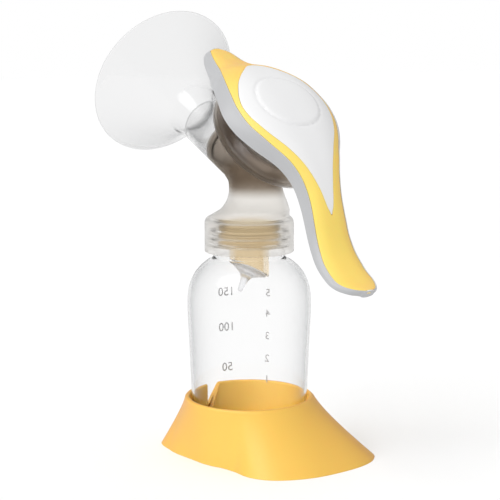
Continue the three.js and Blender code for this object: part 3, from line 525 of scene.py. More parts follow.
# Less painted reflection on the bottle's shoulder top and neck.
soften_edge_tint(bottle_clear, UP, NECK_FROM_HUB - 6, NECK_FROM_HUB, keep=0.1)
finish_with(bottle, bottle_clear, "clear_plastic", "bottle", "bottle")

print_grey = satin_plastic("print_grey", (0.48, 0.48, 0.49), 0.6)
bottle_side = smooth_through([(z, radius) for radius, z in bottle_outside(0)[7:]])
PRINT_THICKNESS = 0.04
PRINT_STANDS_OFF = 0.06
BOLDNESS = 0.02


def print_on_bottle(name, words, size, degrees, z):
    """Thin printed figures wrapped round the bottle's outside, their middle at an angle about its axis."""
    bpy.ops.object.select_all(action="DESELECT")
    bpy.ops.object.text_add(location=(0, 0, 0))
    figures = bpy.context.object
    figures.name = name
    figures.data.body = words
    figures.data.size = size * MM
    figures.data.align_x = "CENTER"
    figures.data.align_y = "CENTER"
    figures.data.extrude = PRINT_THICKNESS / 2 * MM
    figures.data.offset = BOLDNESS * MM
    bpy.ops.object.convert(target="MESH")
    for vertex in figures.data.vertices:
        height = z * MM + vertex.co.y
        radius = (bottle_side(height / MM) + PRINT_STANDS_OFF) * MM
        angle = math.radians(degrees) + vertex.co.x / radius
        out = radius + vertex.co.z
        vertex.co = (out * math.cos(angle), out * math.sin(angle), height)
    finish_with(figures, print_grey, "clear_plastic", "bottle")


SCALES = {  # each scale's figure size, its angle about the bottle, and its figures with their heights
    "ml": (6.2, 168, (("150", 75.5), ("100", 57.2), ("50", 36.4))),
    "oz": (5.4, 126, (("5", 74.7), ("4", 64.0), ("3", 52.3), ("2", 40.6), ("1", 29.7))),
}
for unit, (size, degrees, marks) in SCALES.items():
    for words, z in marks:
        print_on_bottle(f"scale_{unit}_{words}", words, size, degrees, z)

# ------------------------------------------------------------------ valve
# The valve head pushes over the spigot inside the connector: an amber cup with a slanted seat below. A
# soft silicone membrane with a pull tail closes the seat.

CONNECTOR_CEILING = BOTTLE_TOP + 0.3
VALVE_TOP = CONNECTOR_CEILING - 1
VALVE_STEP = VALVE_TOP - 11.5
VALVE_RADIUS = 15.4
VALVE_BORE = 14.3
THROAT = 9.6
THROAT_BORE = 7
SEAT_SLOPE = math.radians(28)
SEAT_DROP = THROAT * math.tan(SEAT_SLOPE)
SEAT_MIDDLE = VALVE_STEP - 6 - SEAT_DROP
valve_profile = (
    [(THROAT, SEAT_MIDDLE - SEAT_DROP - 1), (THROAT, VALVE_STEP - 0.6), (THROAT + 0.6, VALVE_STEP)]
    + arc_points(VALVE_RADIUS - 1, VALVE_STEP + 1, 1, -90, 0, 5)
    + [(VALVE_RADIUS, VALVE_STEP + 4), (VALVE_RADIUS - 0.3, VALVE_STEP + 4.3)]
    + [(VALVE_RADIUS - 0.3, VALVE_STEP + 5.3), (VALVE_RADIUS, VALVE_STEP + 5.6)]
    + [(VALVE_RADIUS, VALVE_TOP - 0.3), (VALVE_RADIUS - 0.3, VALVE_TOP)]
    + [(VALVE_BORE + 0.2, VALVE_TOP), (VALVE_BORE, VALVE_TOP - 0.3)]
    + [(VALVE_BORE, VALVE_STEP + 1.6), (VALVE_BORE - 0.5, VALVE_STEP + 1.1), (THROAT_BORE, VALVE_STEP + 1.1)]
    + [(THROAT_BORE, SEAT_MIDDLE - SEAT_DROP - 1)]
)
valve = turned_shell("valve_head_cup", valve_profile, 96)
bpy.ops.object.select_all(action="DESELECT")
bpy.ops.mesh.primitive_cube_add(size=0.06, location=(0, 0, -0.03))
seat_cut = bpy.context.object
seat_frame = Matrix.Translation((0, 0, SEAT_MIDDLE * MM)) @ Matrix.Rotation(-SEAT_SLOPE, 4, "X")
combine(valve, place_on(seat_frame, seat_cut), "DIFFERENCE")
smooth_shade(valve, 40)
valve_amber = clear_plastic(
    "valve_amber", (0.95, 0.85, 0.68), (0.86, 0.72, 0.52), 0.22, 1.18, 1.6, (0.97, 0.92, 0.82)
)
finish_with(valve, valve_amber, "valve_plastic", "valve", "valve_head")
membrane_profile = (
    [(0, 0.3), (9.0, 0.3), (9.2, 0.5), (9.2, 1.0), (8.9, 1.2), (7, 2.1), (5, 3.0), (3.2, 4.1)]
    + [(2.2, 5.6), (1.7, 7.2), (1.4, 9.5), (1.3, 11.4), (0.9, 12.2), (0, 12.4)]
)
seat_from_below = seat_frame @ Matrix.Rotation(math.pi, 4, "X")
membrane = turned_shell("valve_membrane_disc", membrane_profile, 64, seat_from_below, closed=False)
smooth_shade(membrane, 50)
silicone_soft = clear_plastic(
    "silicone_soft", (0.88, 0.88, 0.89), (0.62, 0.62, 0.64), 0.35, 1.2, 1.2, (0.9, 0.9, 0.9)
)
finish_with(membrane, silicone_soft, "silicone", "valve", "valve_membrane")

# ------------------------------------------------------------------ connector
# One frosted polypropylene moulding: a threaded skirt, a column that swells towards the bowl, the tube
# for the shield and the bowl for the diaphragm, whose foot is a double flange.

JOINTS = {joint["name"]: joint for joint in frame["joints"]}


def frame_along(axis):
    """A frame at the hub whose local Z runs along axis and whose local Y is the pump's Y."""
    up = Vector(axis).normalized()
    side = Vector((0, 1, 0))
    across = side.cross(up)
    turn = Matrix((across, side, up)).transposed().to_4x4()
    return Matrix.Translation(HUB) @ turn


bowl_frame = frame_along(JOINTS["stem_lift"]["axis"])
shield_frame = frame_along(JOINTS["shield_pull"]["axis"])

WALL = 1.7
SKIRT = 21.8
SKIRT_TOP = CONNECTOR_CEILING + WALL
SKIRT_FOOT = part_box("connector")[0].z / MM
SKIRT_BORE = SKIRT - WALL
MOUTH_BORE = 14
SPIGOT_BORE = 12.3
TUBE = 12.4
TUBE_BORE = TUBE - 1.3
TUBE_END = 41.6
HUB_RADIUS = 13.2
FLANGE = 31
COLUMN_TOP = 25
COLUMN = [  # height above the skirt, shift towards the bowl, radius
    (-2, 0, 20.3), (0, 0.2, 19.8), (1.5, 1.2, 18.8), (3.8, 4.4, 17.1), (8.3, 6.2, 14.7), (13.3, 5.8, 13.1),
    (COLUMN_TOP, 2.5, 12.2),
]
column_shift = smooth_through([(rise, shift) for rise, shift, _ in COLUMN])
column_radius = smooth_through([(rise, radius) for rise, _, radius in COLUMN])


def column(name, inset, low, steps=24):
    """The column, or its hollow when inset, from a height above the skirt up to the hub."""
    rings = []
    for i in range(steps + 1):
        rise = low + (COLUMN_TOP - low) * i / steps
        rings.append(circle(column_radius(rise) - inset, SKIRT_TOP + rise, 96, column_shift(rise)))
    return ring_stack(name, rings)


def hub_ball(name, radius):
    bpy.ops.object.select_all(action="DESELECT")
    bpy.ops.mesh.primitive_uv_sphere_add(segments=64, ring_count=32, radius=radius * MM, location=HUB)
    ball = bpy.context.object
    ball.name = name
    bpy.ops.object.transform_apply(location=True, rotation=True, scale=True)
    return ball


FUNNEL = [(7.9, 0.0), (11.6, 4.2), (13.6, 8), (16, 12.2), (19.4, 15.8), (23, 18.8), (26.6, 21.3)]
body = column("connector_body", 0, -2)
combine(body, hub_ball("hub", HUB_RADIUS), "UNION")
tube_profile = [(0, 0)] + [(TUBE, z) for z in range(0, 39, 3)] + [(TUBE, TUBE_END - 2), (0, TUBE_END - 2)]
tube = turned_shell("tube", tube_profile, 96, shield_frame, closed=False)
combine(body, tube, "UNION")
funnel_profile = [(0, 0)] + FUNNEL + [(28, 22.6), (28, 24), (0, 24)]
funnel = turned_shell("funnel", funnel_profile, 128, bowl_frame, closed=False)
combine(body, funnel, "UNION")
select_only(body)
blend_corners = body.modifiers.new("blend_corners", "REMESH")
blend_corners.mode = "VOXEL"
blend_corners.voxel_size = 0.7 * MM
bpy.ops.object.modifier_apply(modifier=blend_corners.name)
relax = body.modifiers.new("relax", "SMOOTH")
relax.factor = 0.5
relax.iterations = 14
bpy.ops.object.modifier_apply(modifier=relax.name)

# The crisp parts: skirt, tube end, and the bowl's flange and wall.
skirt = turned_shell(
    "skirt",
    [(0, SKIRT_FOOT), (SKIRT - 0.3, SKIRT_FOOT), (SKIRT, SKIRT_FOOT + 0.3), (SKIRT, SKIRT_TOP - 3.2)]
    + curve_points(
        (SKIRT, SKIRT_TOP - 3.2), (SKIRT, SKIRT_TOP - 1.0),
        (SKIRT - 1, SKIRT_TOP), (SKIRT - 2.4, SKIRT_TOP + 0.5), 6,
    )
    + [(0, SKIRT_TOP + 0.6)],
    128,
    closed=False,
)
combine(body, skirt, "UNION")
tube_end = turned_shell(
    "tube_end",
    [(0, 30), (TUBE - 0.1, 30), (TUBE, TUBE_END - 1.6), (TUBE, TUBE_END - 0.3), (TUBE - 0.3, TUBE_END)]
    + [(0, TUBE_END)],
    128,
    shield_frame,
    closed=False,
)
combine(body, tube_end, "UNION")
bowl_wall = turned_shell(
    "bowl_wall",
    [(0, 20), (24.5, 20), (28.4, 22.9), (30.6, 23.8), (FLANGE, 24.1), (FLANGE, 24.5), (30.6, 24.7)]
    + [(30.1, 24.75), (30.6, 24.9), (30.8, 25.1), (30.6, 25.4), (29.6, 25.6), (29.3, 26.2)]
    + [(28.9, 27.8), (28.3, 29.6), (27.8, 31.1), (27.4, 31.5), (0, 31.5)],
    160,
    bowl_frame,
    closed=False,
)
combine(body, bowl_wall, "UNION")

# The hollows: chamber, tube bore, bowl, and the mouth that screws on the bottle with its spigot.
hollow = column("hollow", WALL, -4)
combine(hollow, hub_ball("chamber", HUB_RADIUS - WALL), "UNION")
bore_profile = [(0, 0), (TUBE_BORE, 0), (TUBE_BORE, 60), (0, 60)]
tube_bore = turned_shell("tube_bore", bore_profile, 96, shield_frame, closed=False)
combine(hollow, tube_bore, "UNION")
bowl_inside = turned_shell(
    "bowl_inside",
    [(0, WALL)]
    + [(radius - WALL, z + WALL * 0.45) for radius, z in FUNNEL[1:]]
    + [(27.7, 25.6), (27.3, 27.4), (26.7, 29.4), (26.1, 30.9), (25.9, 31.3), (25.9, 34), (0, 34)],
    128,
    bowl_frame,
    closed=False,
)
combine(hollow, bowl_inside, "UNION")
combine(body, hollow, "DIFFERENCE")
THREAD_CREST = NECK_RADIUS + 0.5
bore_threads = []
for level in THREAD_LEVELS[::-1]:
    middle = level - 2
    bore_threads += [(SKIRT_BORE, middle + 1), (THREAD_CREST, middle + 0.3)]
    bore_threads += [(THREAD_CREST, middle - 0.3), (SKIRT_BORE, middle - 1)]
mouth = turned_shell(
    "mouth",
    [(MOUTH_BORE, CONNECTOR_CEILING)]
    + [(SKIRT_BORE - 0.5, CONNECTOR_CEILING), (SKIRT_BORE, CONNECTOR_CEILING - 0.5)]
    + bore_threads
    + [(SKIRT_BORE, SKIRT_FOOT + 1), (SKIRT_BORE + 0.4, SKIRT_FOOT - 1), (0, SKIRT_FOOT - 1)]
    + [(0, CONNECTOR_CEILING - 6), (MOUTH_BORE, CONNECTOR_CEILING - 6)],
    128,
)
combine(body, mouth, "DIFFERENCE")
drain_foot, drain_top = CONNECTOR_CEILING - 8, SKIRT_TOP + 1
drain_profile = [(0, drain_foot), (SPIGOT_BORE, drain_foot), (SPIGOT_BORE, drain_top), (0, drain_top)]
combine(body, turned_shell("drain", drain_profile, 96, closed=False), "DIFFERENCE")
smooth_shade(body, 32)


# How far the frosted plastic's tint darkens where it is seen edge-on: painted reflection.
EDGE_DARKENS_TO = 0.84


def tone_by_place(material, base, zones):
    """Gives a clear plastic's tint a chain of zones, each a colour and the masks it lies in."""
    tree = material.node_tree
    tint = tree.nodes["edge_tint"]
    tone = base
    for colour, *masks in zones:
        share = mask_along(material, *masks[0])
        for other in masks[1:]:
            share = calculate(tree, "MULTIPLY", share, mask_along(material, *other))
        tone = mix_colours(tree, share, tone, colour).outputs["Result"]
    darker = add_node(tree, "VectorMath", {0: tone, "Scale": EDGE_DARKENS_TO}, operation="SCALE")
    tree.links.new(tone, tint.inputs["A"])
    tree.links.new(darker.outputs["Vector"], tint.inputs["B"])


def blur_by_place(material, roughness, *mask):
    """Roughens a clear plastic up to roughness where a mask along a direction is full."""
    tree = material.node_tree
    given = tree.nodes["surface"].inputs["Roughness"]
    before = given.links[0].from_socket if given.is_linked else given.default_value
    share = mask_along(material, *mask)
    rougher = add_node(tree, "MapRange", {"Value": share, "To Min": before, "To Max": roughness})
    tree.links.new(rougher.outputs["Result"], given)


# The hub is painted dark taupe as the shade under the bowl. The bowl's wall is painted darker where the
# handle shades it and lighter on the side the light falls on, and the tube has a bright ring, partly where
# its wall is doubled by the shield's tunnel and partly a painted highlight.
FROST = (0.9, 0.885, 0.86)
# The side the light falls on, for the painted light on the bowl's wall.
LIGHT_SIDE = Vector((0.578, 0.816, 0))
frosted = clear_plastic("frosted", FROST, (0.68, 0.66, 0.64), 0.34, 1.12, 1.8, (0.9, 0.89, 0.87))
bowl_way, tube_way = (Vector(JOINTS[name]["axis"]).normalized() for name in ("stem_lift", "shield_pull"))
hub_shade_zone = (UP, -16, -10.5)
ring_start = (tube_way, 19.8, 20.4)
bowl_start = (bowl_way, 25.5, 25.8)
tones = [
    # Painted shade: the hub in shadow under the bowl.
    ((0.40, 0.345, 0.29), hub_shade_zone),
    ((0.84, 0.83, 0.82), (bowl_way, 23.2, 23.8)),
    # Painted shade: the bowl's wall where the handle shades it.
    ((0.50, 0.465, 0.45), bowl_start),
    # Painted light: the bowl's wall lighter on the side the light falls on.
    ((0.85, 0.81, 0.77), bowl_start, (LIGHT_SIDE, -4, 14)),
    # Partly the wall doubled by the shield's tunnel, partly a painted highlight: the bright ring on the
    # tube.
    ((1, 1, 1), ring_start),
    ((0.91, 0.91, 0.91), (tube_way, 25.4, 25.8)),
]
tone_by_place(frosted, FROST, tones)
blur_by_place(frosted, 0.62, *hub_shade_zone)
blur_by_place(frosted, 0.2, *ring_start)
finish_with(body, frosted, "frosted_plastic", "connector", "connector")

# ------------------------------------------------------------------ breast shield
# A clear funnel with a rolled rim, whose tunnel pushes into the connector's tube. Injection moulded in
# polypropylene with a fine gloss inside and out.

TUNNEL = TUBE_BORE - 0.3
TUNNEL_FOOT = 17.6
TUNNEL_TOP = TUBE_END + 0.3
SHIELD_WALL = 1.3
RIM_ROLL = 0.75


def shield_side(inset):
    """The shield's outside from the tunnel's foot to the rim, or its inside when inset."""
    throat, rim = (13.6, 54), (39.7, 84.6)
    line = [(TUNNEL - inset, TUNNEL_FOOT), (TUNNEL - inset, TUNNEL_TOP)]
    neck = curve_points((TUNNEL, TUNNEL_TOP), (TUNNEL + 0.3, 46), (12.4, 51.5), throat, 6)
    line += [(radius - inset * 0.95, z) for radius, z in neck]
    slope = curve_points(throat, (15.6, 58.4), (28, 74), rim, 16)
    return line + [(radius - inset * 0.8, z + inset * 0.6) for radius, z in slope]


rolled_rim = arc_points(39.75, 85.55, RIM_ROLL, -60, 150, 8)
shield_profile = shield_side(0) + rolled_rim + shield_side(SHIELD_WALL)[::-1]
shield = turned_shell("breast_shield_funnel", shield_profile, 160, shield_frame)
smooth_shade(shield, 40)
shield_clear = clear_plastic("shield_clear", (0.885, 0.885, 0.887), (0.24, 0.245, 0.25), 0.06, 1.3, 2.2)
finish_with(shield, shield_clear, "clear_plastic", "shield", "breast_shield")

# ------------------------------------------------------------------ diaphragm and stem
# A moulded silicone cup seals the bowl and lifts with the stem. The stem's mushroom head turns inside the
# swivel, and a grey pin through the swivel carries the handle.

diaphragm_profile = (
    [(3.9, 25.45), (9, 25.45), (17.4, 24.85), (20.5, 25.0), (22, 25.7), (23, 27), (23.9, 28.7), (24.6, 29.5)]
    + [(25.2, 29.9), (25.6, 30.1), (25.6, 30.9), (25.4, 31.1), (23.8, 31.1), (23.6, 30.9), (23.6, 30.1)]
    + [(23.4, 29.6), (22.9, 28.6), (22, 27.4), (21, 26.4), (20, 26.15), (17.4, 25.95)]
    + [(9, 26.55), (3.9, 26.55)]
)
diaphragm = turned_shell("diaphragm_cup", diaphragm_profile, 96, bowl_frame)
smooth_shade(diaphragm, 40)
diaphragm.data.materials.append(silicone_soft)
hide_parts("diaphragm")
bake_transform(diaphragm)

stem_profile = (
    [(0, 22.65), (4.5, 22.65), (8.6, 23.9), (9, 24.3), (9, 24.9), (8.7, 25.15), (3.6, 25.15)]
    + [(3.6, 28.5), (2.8, 28.9), (2.8, 30.5), (4.3, 30.5), (4.6, 30.8), (3.9, 32.1), (3.5, 32.3), (0, 32.3)]
)
stem = turned_shell("diaphragm_stem_post", stem_profile, 64, bowl_frame, closed=False)
smooth_shade(stem, 40)
stem_grey = satin_plastic("stem_grey", (0.42, 0.43, 0.45), 0.38)
finish_with(stem, stem_grey, "stem_plastic", "stem", "diaphragm_stem")

SEAL_ROUND = 1
ring_profile = arc_points(4.9, 27.85, SEAL_ROUND, 0, 345, 23)
o_ring = turned_shell("stem_o_ring_seal", ring_profile, 64, bowl_frame)
smooth_shade(o_ring, 60)
silicone_grey = satin_plastic("silicone_grey", (0.62, 0.62, 0.62), 0.55)
finish_with(o_ring, silicone_grey, "silicone", "stem", "stem_o_ring")

PIN_HEIGHT = 35
PIN_RADIUS = 1.5
PIN_HALF = 10.3
swivel_profile = (
    [(3.1, 29.3), (6.1, 29.3), (6.4, 29.6), (6.4, 35.9), (6.1, 36.4), (4.6, 37.2), (4.2, 37.4), (0, 37.4)]
    + [(0, 32.6), (4.9, 32.6), (4.9, 30.2), (3.1, 30.2)]
)
swivel = turned_shell("stem_swivel_cap", swivel_profile, 64, bowl_frame)


SHARP = 0.01


def cross_bar(name, radius, half, chamfer):
    """A round bar along Y at the pin's height in the bowl's frame."""
    profile = [(0, -half), (radius - chamfer, -half), (radius, -half + chamfer)]
    profile += [(radius, half - chamfer), (radius - chamfer, half), (0, half)]
    place = bowl_frame @ Matrix.Translation((0, 0, PIN_HEIGHT * MM)) @ Matrix.Rotation(-math.pi / 2, 4, "X")
    return turned_shell(name, profile, 48, place, closed=False)


combine(swivel, cross_bar("swivel_bore", PIN_RADIUS + 0.1, 8, SHARP), "DIFFERENCE")
smooth_shade(swivel, 40)
finish_with(swivel, stem_grey, "stem_plastic", "swivel", "stem_swivel")

pin = cross_bar("hinge_pin_rod", PIN_RADIUS, PIN_HALF, 0.3)
smooth_shade(pin, 40)
finish_with(pin, stem_grey, "stem_plastic", "swivel", "hinge_pin")

# ------------------------------------------------------------------ handle frame
# The structural shell of the handle, moulded in pale grey plastic: side bands that run round the whole
# outline up to a thin lip, a sunk bed for the yellow grip, a dome that covers the bowl, and inside it two
# ears on the hinge pin and two pads. In mm from the hub, a runs along the lever, y across it and z out.

HANDLE_LEAN = math.radians(45)
handle_place = frame_along((math.sin(HANDLE_LEAN), 0, math.cos(HANDLE_LEAN)))

TIP, LEVER_END = -58.6, 99.5
low_width = smooth_through(
    [(TIP, 3.2), (-57, 6.2), (-53, 8.5), (-46, 10.6), (-38, 13.6), (-30, 18.8), (-20, 25.2), (-10, 29.2)]
    + [(0, 31.4), (10, 29.8), (20, 25), (30, 18.2), (40, 13.2), (50, 11.4), (62, 11.2), (72, 11.7)]
    + [(80, 12.2), (88, 12.2), (92, 11.3), (95, 9.5), (97.5, 7), (LEVER_END, 3.4)]
)
low_height = smooth_through(
    [(TIP, 15.8), (-54, 15.2), (-46, 15.8), (-38, 18.2), (-30, 22.6), (-20, 29.6), (-10, 32.8), (0, 33.8)]
    + [(10, 33.8), (20, 34.2), (30, 34.4), (40, 32.4), (50, 28.4), (60, 23.9), (65, 21.8), (70, 20.4)]
    + [(76, 19.5), (82, 19.7), (88, 20.9), (93, 22.6), (97, 24.6), (LEVER_END, 26)]
)
high_width = smooth_through(
    [(TIP, 1.8), (-57, 4.8), (-53, 6.9), (-46, 9.1), (-38, 12.4), (-30, 17.6), (-20, 22.6), (-10, 25.3)]
    + [(0, 26.6), (10, 25.4), (20, 21.2), (30, 15.9), (40, 11.7), (50, 9.7), (62, 9.6), (72, 10.1)]
    + [(80, 10.7), (88, 10.7), (92, 9.8), (95, 7.9), (97.5, 5.4), (LEVER_END, 2.2)]
)
high_height = smooth_through(
    [(TIP, 18.8), (-54, 20.2), (-46, 22.6), (-38, 26.4), (-30, 31.8), (-20, 36.6), (-10, 38.6), (0, 39.4)]
    + [(10, 39.8), (20, 40.4), (30, 40.4), (40, 38.4), (50, 34.1), (60, 29), (65, 26.4), (70, 24.5)]
    + [(76, 23.1), (82, 22.9), (88, 23.8), (93, 25.6), (97, 28), (LEVER_END, 29.6)]
)
crown_height = smooth_through(
    [(TIP, 19.2), (-54, 20.8), (-46, 24.2), (-39, 28.6), (-30, 36), (-20, 41), (-10, 44), (0, 45.2)]
    + [(10, 45.4), (20, 44.7), (30, 43.2), (40, 40.6), (50, 36.7), (60, 31.4), (65, 28.7), (70, 26.6)]
    + [(76, 25), (82, 24.6), (88, 25.2), (93, 26.6), (97, 28.6), (LEVER_END, 30)]
)
LAYER = 1.8
DECK = LAYER + 0.3
FRAME_WALL = 1.4
LIP = 0.5
BED_WALL = 0.08
BELLY = 1.1
DECK_STEPS = 24
ROOF_STEPS = 16


def top_height(a, y, inset=0.0):
    """Height of the top surface whose edge is pulled in by inset."""
    share = min(abs(y) / max(high_width(a) - inset, 0.1), 1)
    crown = crown_height(a)
    return crown - (crown - high_height(a)) * share**3.2


def handle_stations(step, inset=0.0):
    """Places along the handle, closer together near its rounded ends."""
    start, end = TIP + inset, LEVER_END - inset
    first, run = start + 4, end - start - 8
    count = round(run / step)
    near = (0, 0.25, 0.9, 2, 3)
    middle = [first + run * i / count for i in range(count + 1)]
    return [start + n for n in near] + middle + [end - n for n in near[::-1]]


def frame_section(a):
    """A ring round the frame: the bed, the lip at each side, the side bands and the rounded belly."""
    edge = max(high_width(a), 0.8)
    low = max(low_width(a), 0.9)
    top_z, low_z = high_height(a), low_height(a)
    bed = max(edge - LIP, 0.3)
    from_end = min(a - TIP, LEVER_END - a) - LIP
    sunk = DECK * min(max(from_end / BED_WALL, 0), 1)
    deck = []
    for i in range(DECK_STEPS + 1):
        y = bed * (-1 + 2 * i / DECK_STEPS)
        deck.append((y, top_height(a, y, LIP) - sunk))
    band = [(bed, top_z - 0.08), (bed + 0.1, top_z), (edge - 0.14, top_z), (edge, top_z - 0.16)]
    for t in (0.12, 0.28, 0.45, 0.62, 0.78, 0.92):
        swell = 0.5 * math.sin(math.pi * t)
        band.append((edge + (low - edge) * t + swell, top_z + (low_z - top_z) * t))
    band += [(low, low_z + 0.12), (low - 0.25, low_z)]
    belly = [(low * share, low_z - BELLY * (1 - share**2)) for share in (0.85, 0.6, 0.3)]
    half = band + belly
    section = deck + half + [(0, low_z - BELLY)] + [(-y, z) for y, z in half[::-1]]
    return [(a, y, z) for y, z in section]


def pocket_section(a):
    """A ring of the pocket inside the shell, one wall in from the band and below the bed."""
    half = max(high_width(a) - FRAME_WALL, 0.6)
    low = max(low_width(a) - FRAME_WALL, 0.9)
    waist = max((low_width(a) + high_width(a)) / 2 + 0.5 - FRAME_WALL, 0.8)
    waist_z = (low_height(a) + high_height(a)) / 2 - 1.75
    roof = []
    for i in range(ROOF_STEPS + 1):
        y = half * (-1 + 2 * i / ROOF_STEPS)
        roof.append((y, top_height(a, y, FRAME_WALL) - DECK - FRAME_WALL))
    side = [(waist, waist_z), (low, low_height(a) - 12)]
    section = roof + side + [(-y, z) for y, z in side[::-1]]
    return [(a, y, z) for y, z in section]


def block(name, low, high, bevel=0.3):
    """A box between two corners in the bowl's frame, in mm, with its edges rounded."""
    bpy.ops.object.select_all(action="DESELECT")
    middle = [(a + b) / 2 * MM for a, b in zip(low, high)]
    bpy.ops.mesh.primitive_cube_add(size=1, location=middle)
    piece = bpy.context.object
    piece.name = name
    piece.scale = [(b - a) * MM for a, b in zip(low, high)]
    bpy.ops.object.transform_apply(location=True, rotation=True, scale=True)
    bpy.ops.object.mode_set(mode="EDIT")
    bpy.ops.mesh.select_all(action="SELECT")
    bpy.ops.mesh.bevel(offset=bevel * MM, segments=2)
    bpy.ops.object.mode_set(mode="OBJECT")
    return place_on(bowl_frame, piece)


bed_ends = [TIP + LIP, TIP + LIP + BED_WALL, LEVER_END - LIP - BED_WALL, LEVER_END - LIP]
stations = sorted(handle_stations(1.2) + bed_ends)
handle_frame = place_on(handle_place, ring_stack("handle_frame_shell", [frame_section(a) for a in stations]))

# The pocket for the bowl stays inside a round column over it, and the bowl's own room is cleared as well.
POCKET_BACK, POCKET_FRONT, POCKET_STEPS = -38, 40, 60
COLUMN_OVER_BOWL = FLANGE + 1.3
ROOM, ROOM_ABOVE = FLANGE + 0.3, 29.7
BOWL_TOP = 31.8
pocket_run = POCKET_FRONT - POCKET_BACK
pocket_rings = [pocket_section(POCKET_BACK + pocket_run * i / POCKET_STEPS) for i in range(POCKET_STEPS + 1)]
pocket = place_on(handle_place, ring_stack("pocket", pocket_rings))
over_bowl = [(0, 0), (COLUMN_OVER_BOWL, 0), (COLUMN_OVER_BOWL, 60), (0, 60)]
combine(pocket, turned_shell("over_bowl", over_bowl, 128, bowl_frame, closed=False), "INTERSECT")
combine(handle_frame, pocket, "DIFFERENCE")
room = [(0, 0), (ROOM, 0), (ROOM, 25.7), (ROOM_ABOVE, 25.7), (ROOM_ABOVE, BOWL_TOP), (0, BOWL_TOP)]
combine(handle_frame, turned_shell("room", room, 128, bowl_frame, closed=False), "DIFFERENCE")

EAR_IN, EAR_OUT, EAR_TOP = 6.7, 9.7, 42.4
EAR_HALF, EAR_BELOW_PIN = 4.5, 3.8
PAD_MIDDLE, PAD_THICKNESS, PAD_HALF = 26.75, 1.6, 7
for side, pad_top in ((-1, 33.9), (1, 43.0)):
    near, far = sorted((side * EAR_IN, side * EAR_OUT))
    ear = block("ear", (-EAR_HALF, near, PIN_HEIGHT - EAR_BELOW_PIN), (EAR_HALF, far, EAR_TOP))
    combine(handle_frame, ear, "UNION")
    pad_back, pad_front = (side * PAD_MIDDLE + half * PAD_THICKNESS for half in (-0.5, 0.5))
    pad = block("pad", (pad_back, -PAD_HALF, BOWL_TOP), (pad_front, PAD_HALF, pad_top))
    combine(handle_frame, pad, "UNION")
combine(handle_frame, cross_bar("ear_bore", PIN_RADIUS + 0.06, 12, SHARP), "DIFFERENCE")
smooth_shade(handle_frame, 32)
handle_grey = satin_plastic("handle_grey", (0.45, 0.455, 0.465), 0.42, relief=0.06)


def paint_light_upwards(material, colour, direction):
    """Lightens the faces that look along direction and not sideways, such as the lip: painted light where
    they face the light from above.
    """
    tree = material.node_tree
    normal = add_node(tree, "TexCoord").outputs["Normal"]
    looks = add_node(tree, "VectorMath", {0: normal, 1: direction}, operation="DOT_PRODUCT").outputs["Value"]
    across = add_node(tree, "SeparateXYZ", {"Vector": normal}).outputs["Y"]
    upwards = calculate(tree, "SUBTRACT", looks, calculate(tree, "ABSOLUTE", across))
    rise = add_node(tree, "MapRange", {"Value": upwards, "From Min": 0.35, "From Max": 0.5})
    base = tree.nodes["Principled BSDF"].inputs["Base Color"]
    pale = mix_colours(tree, rise.outputs["Result"], base.links[0].from_socket, colour)
    tree.links.new(pale.outputs["Result"], base)


# Painted light on the lip along the top of the side bands.
paint_light_upwards(handle_grey, (0.8, 0.8, 0.8), handle_place.to_3x3() @ UP)
finish_with(handle_frame, handle_grey, "handle_grey", "handle", "handle_frame")

# ------------------------------------------------------------------ handle grip
# A soft yellow layer moulded into the frame's bed, with a window in the shape of a long drop for the cap.

CAP_BACK, CAP_POINT = -31.5, 58.4
cap_width = smooth_through(
    [(CAP_BACK, 0.5), (-30.4, 3.6), (-28.5, 6.2), (-25.5, 9.4), (-21, 14), (-16, 18.2), (-11, 21), (-6, 23)]
    + [(0, 24), (6, 23.3), (12, 21.2), (17.5, 18.6), (22.5, 15.6), (27, 12.8), (37, 7.6), (47, 3.9)]
    + [(52, 2.6), (55.5, 1.6), (CAP_POINT, 0.4)]
)
SEAM = 0.08
GRIP_INSET = 0.64
GRIP_COLUMNS = 14
ROUNDED_EDGE = 0.18


def weld_upwards(piece):
    """Merges double points and turns the faces so that they look up."""
    select_only(piece)
    bpy.ops.object.mode_set(mode="EDIT")
    bpy.ops.mesh.select_all(action="SELECT")
    bpy.ops.mesh.remove_doubles(threshold=2e-5)
    bpy.ops.mesh.dissolve_degenerate(threshold=1e-6)
    bpy.ops.mesh.normals_make_consistent(inside=False)
    bpy.ops.object.mode_set(mode="OBJECT")
    if sum(face.normal.z * face.area for face in piece.data.polygons) < 0:
        piece.data.flip_normals()
    return piece


def layer_mesh(name, columns, rows, place):
    """A grid whose points are set by place(row, column) in mm, with its normals up."""
    bpy.ops.object.select_all(action="DESELECT")
    bpy.ops.mesh.primitive_grid_add(x_subdivisions=columns, y_subdivisions=rows, size=1)
    piece = bpy.context.object
    piece.name = name
    for i, vertex in enumerate(piece.data.vertices):
        row, column = divmod(i, columns + 1)
        vertex.co = Vector(place(row, column)) * MM
    return weld_upwards(piece)


def thicken(piece):
    """Gives an outer surface the layer's thickness, inwards, and rounds its edges."""
    select_only(piece)
    wall = piece.modifiers.new("wall", "SOLIDIFY")
    wall.thickness = LAYER * MM
    wall.offset = -1
    bpy.ops.object.modifier_apply(modifier=wall.name)
    rounding = piece.modifiers.new("rounding", "BEVEL")
    rounding.width = ROUNDED_EDGE * MM
    rounding.segments = 2
    rounding.limit_method = "ANGLE"
    rounding.angle_limit = math.radians(50)
    bpy.ops.object.modifier_apply(modifier=rounding.name)


window_rows = [CAP_BACK - SEAM + n for n in (0, 0.1, 0.3, 0.6, 1.1, 1.6, 2.2)]
window_rows += [CAP_POINT + SEAM - n for n in (0, 0.3, 0.8, 1.5)]
grip_rows = sorted(handle_stations(1.0, GRIP_INSET) + window_rows)


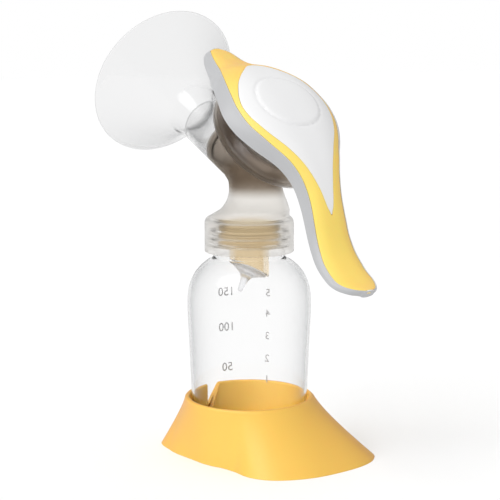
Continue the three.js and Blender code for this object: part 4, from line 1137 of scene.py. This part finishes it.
def grip_side(side):
    """One side of the grip, from the window's edge out to the frame's lip."""

    def place(row, column):
        a = grip_rows[row]
        in_window = window_rows[0] <= a <= CAP_POINT + SEAM
        window = cap_width(a) + SEAM if in_window else 0
        edge = max(high_width(a) - GRIP_INSET, window + 0.2)
        y = window + (edge - window) * column / GRIP_COLUMNS
        return a, side * y, top_height(a, y, GRIP_INSET)

    return place


grip = layer_mesh("handle_grip_layer", GRIP_COLUMNS, len(grip_rows) - 1, grip_side(1))
left = layer_mesh("grip_left", GRIP_COLUMNS, len(grip_rows) - 1, grip_side(-1))
select_only(grip)
left.select_set(True)
bpy.ops.object.join()
weld_upwards(grip)
thicken(grip)
place_on(handle_place, grip)
smooth_shade(grip, 40)
# The grip's orange edges are painted shade.
grip_yellow = satin_plastic("grip_yellow", (1.0, 0.75, 0.165), 0.38, glow=0.2, edge=(0.95, 0.53, 0.09))
finish_with(grip, grip_yellow, "grip_yellow", "handle", "handle_grip")

# ------------------------------------------------------------------ handle cap
# The white insert over the dome, clipped into the grip's window. A round badge stands slightly proud of it
# inside a shallow groove, and is left bare.

BADGE_RADIUS = 16
BADGE_RISE = 0.35
BADGE_SLOPE = 0.9
GROOVE_RADIUS = BADGE_RADIUS + 0.4
GROOVE_DEPTH = 0.4
GROOVE_WIDTH = 0.45
CAP_COLUMNS = 60
CAP_ROWS = 150
cap_rows = []
for i in range(CAP_ROWS + 1):
    share = (1 - math.cos(math.pi * i / CAP_ROWS)) / 2
    cap_rows.append(CAP_BACK + SEAM + (CAP_POINT - CAP_BACK - 2 * SEAM) * share)


def step_up(x, low, high):
    """Rises smoothly from 0 at low to 1 at high."""
    t = min(max((x - low) / (high - low), 0), 1)
    return t * t * (3 - 2 * t)


def cap_place(row, column):
    a = cap_rows[row]
    half = max(cap_width(a) - SEAM, 0.2)
    y = half * (-1 + 2 * column / CAP_COLUMNS)
    away = math.hypot(a, y)
    raised = BADGE_RISE * (1 - step_up(away, BADGE_RADIUS - BADGE_SLOPE, BADGE_RADIUS))
    groove = GROOVE_DEPTH * math.exp(-(((away - GROOVE_RADIUS) / GROOVE_WIDTH) ** 2))
    return a, y, top_height(a, y, GRIP_INSET) + raised - groove


cap = layer_mesh("handle_cap_insert", CAP_COLUMNS, CAP_ROWS, cap_place)
thicken(cap)
place_on(handle_place, cap)
smooth_shade(cap, 40)
cap_white = satin_plastic("cap_white", (0.86, 0.86, 0.865), 0.3, relief=0.03)
finish_with(cap, cap_white, "cap_white", "handle", "handle_cap")
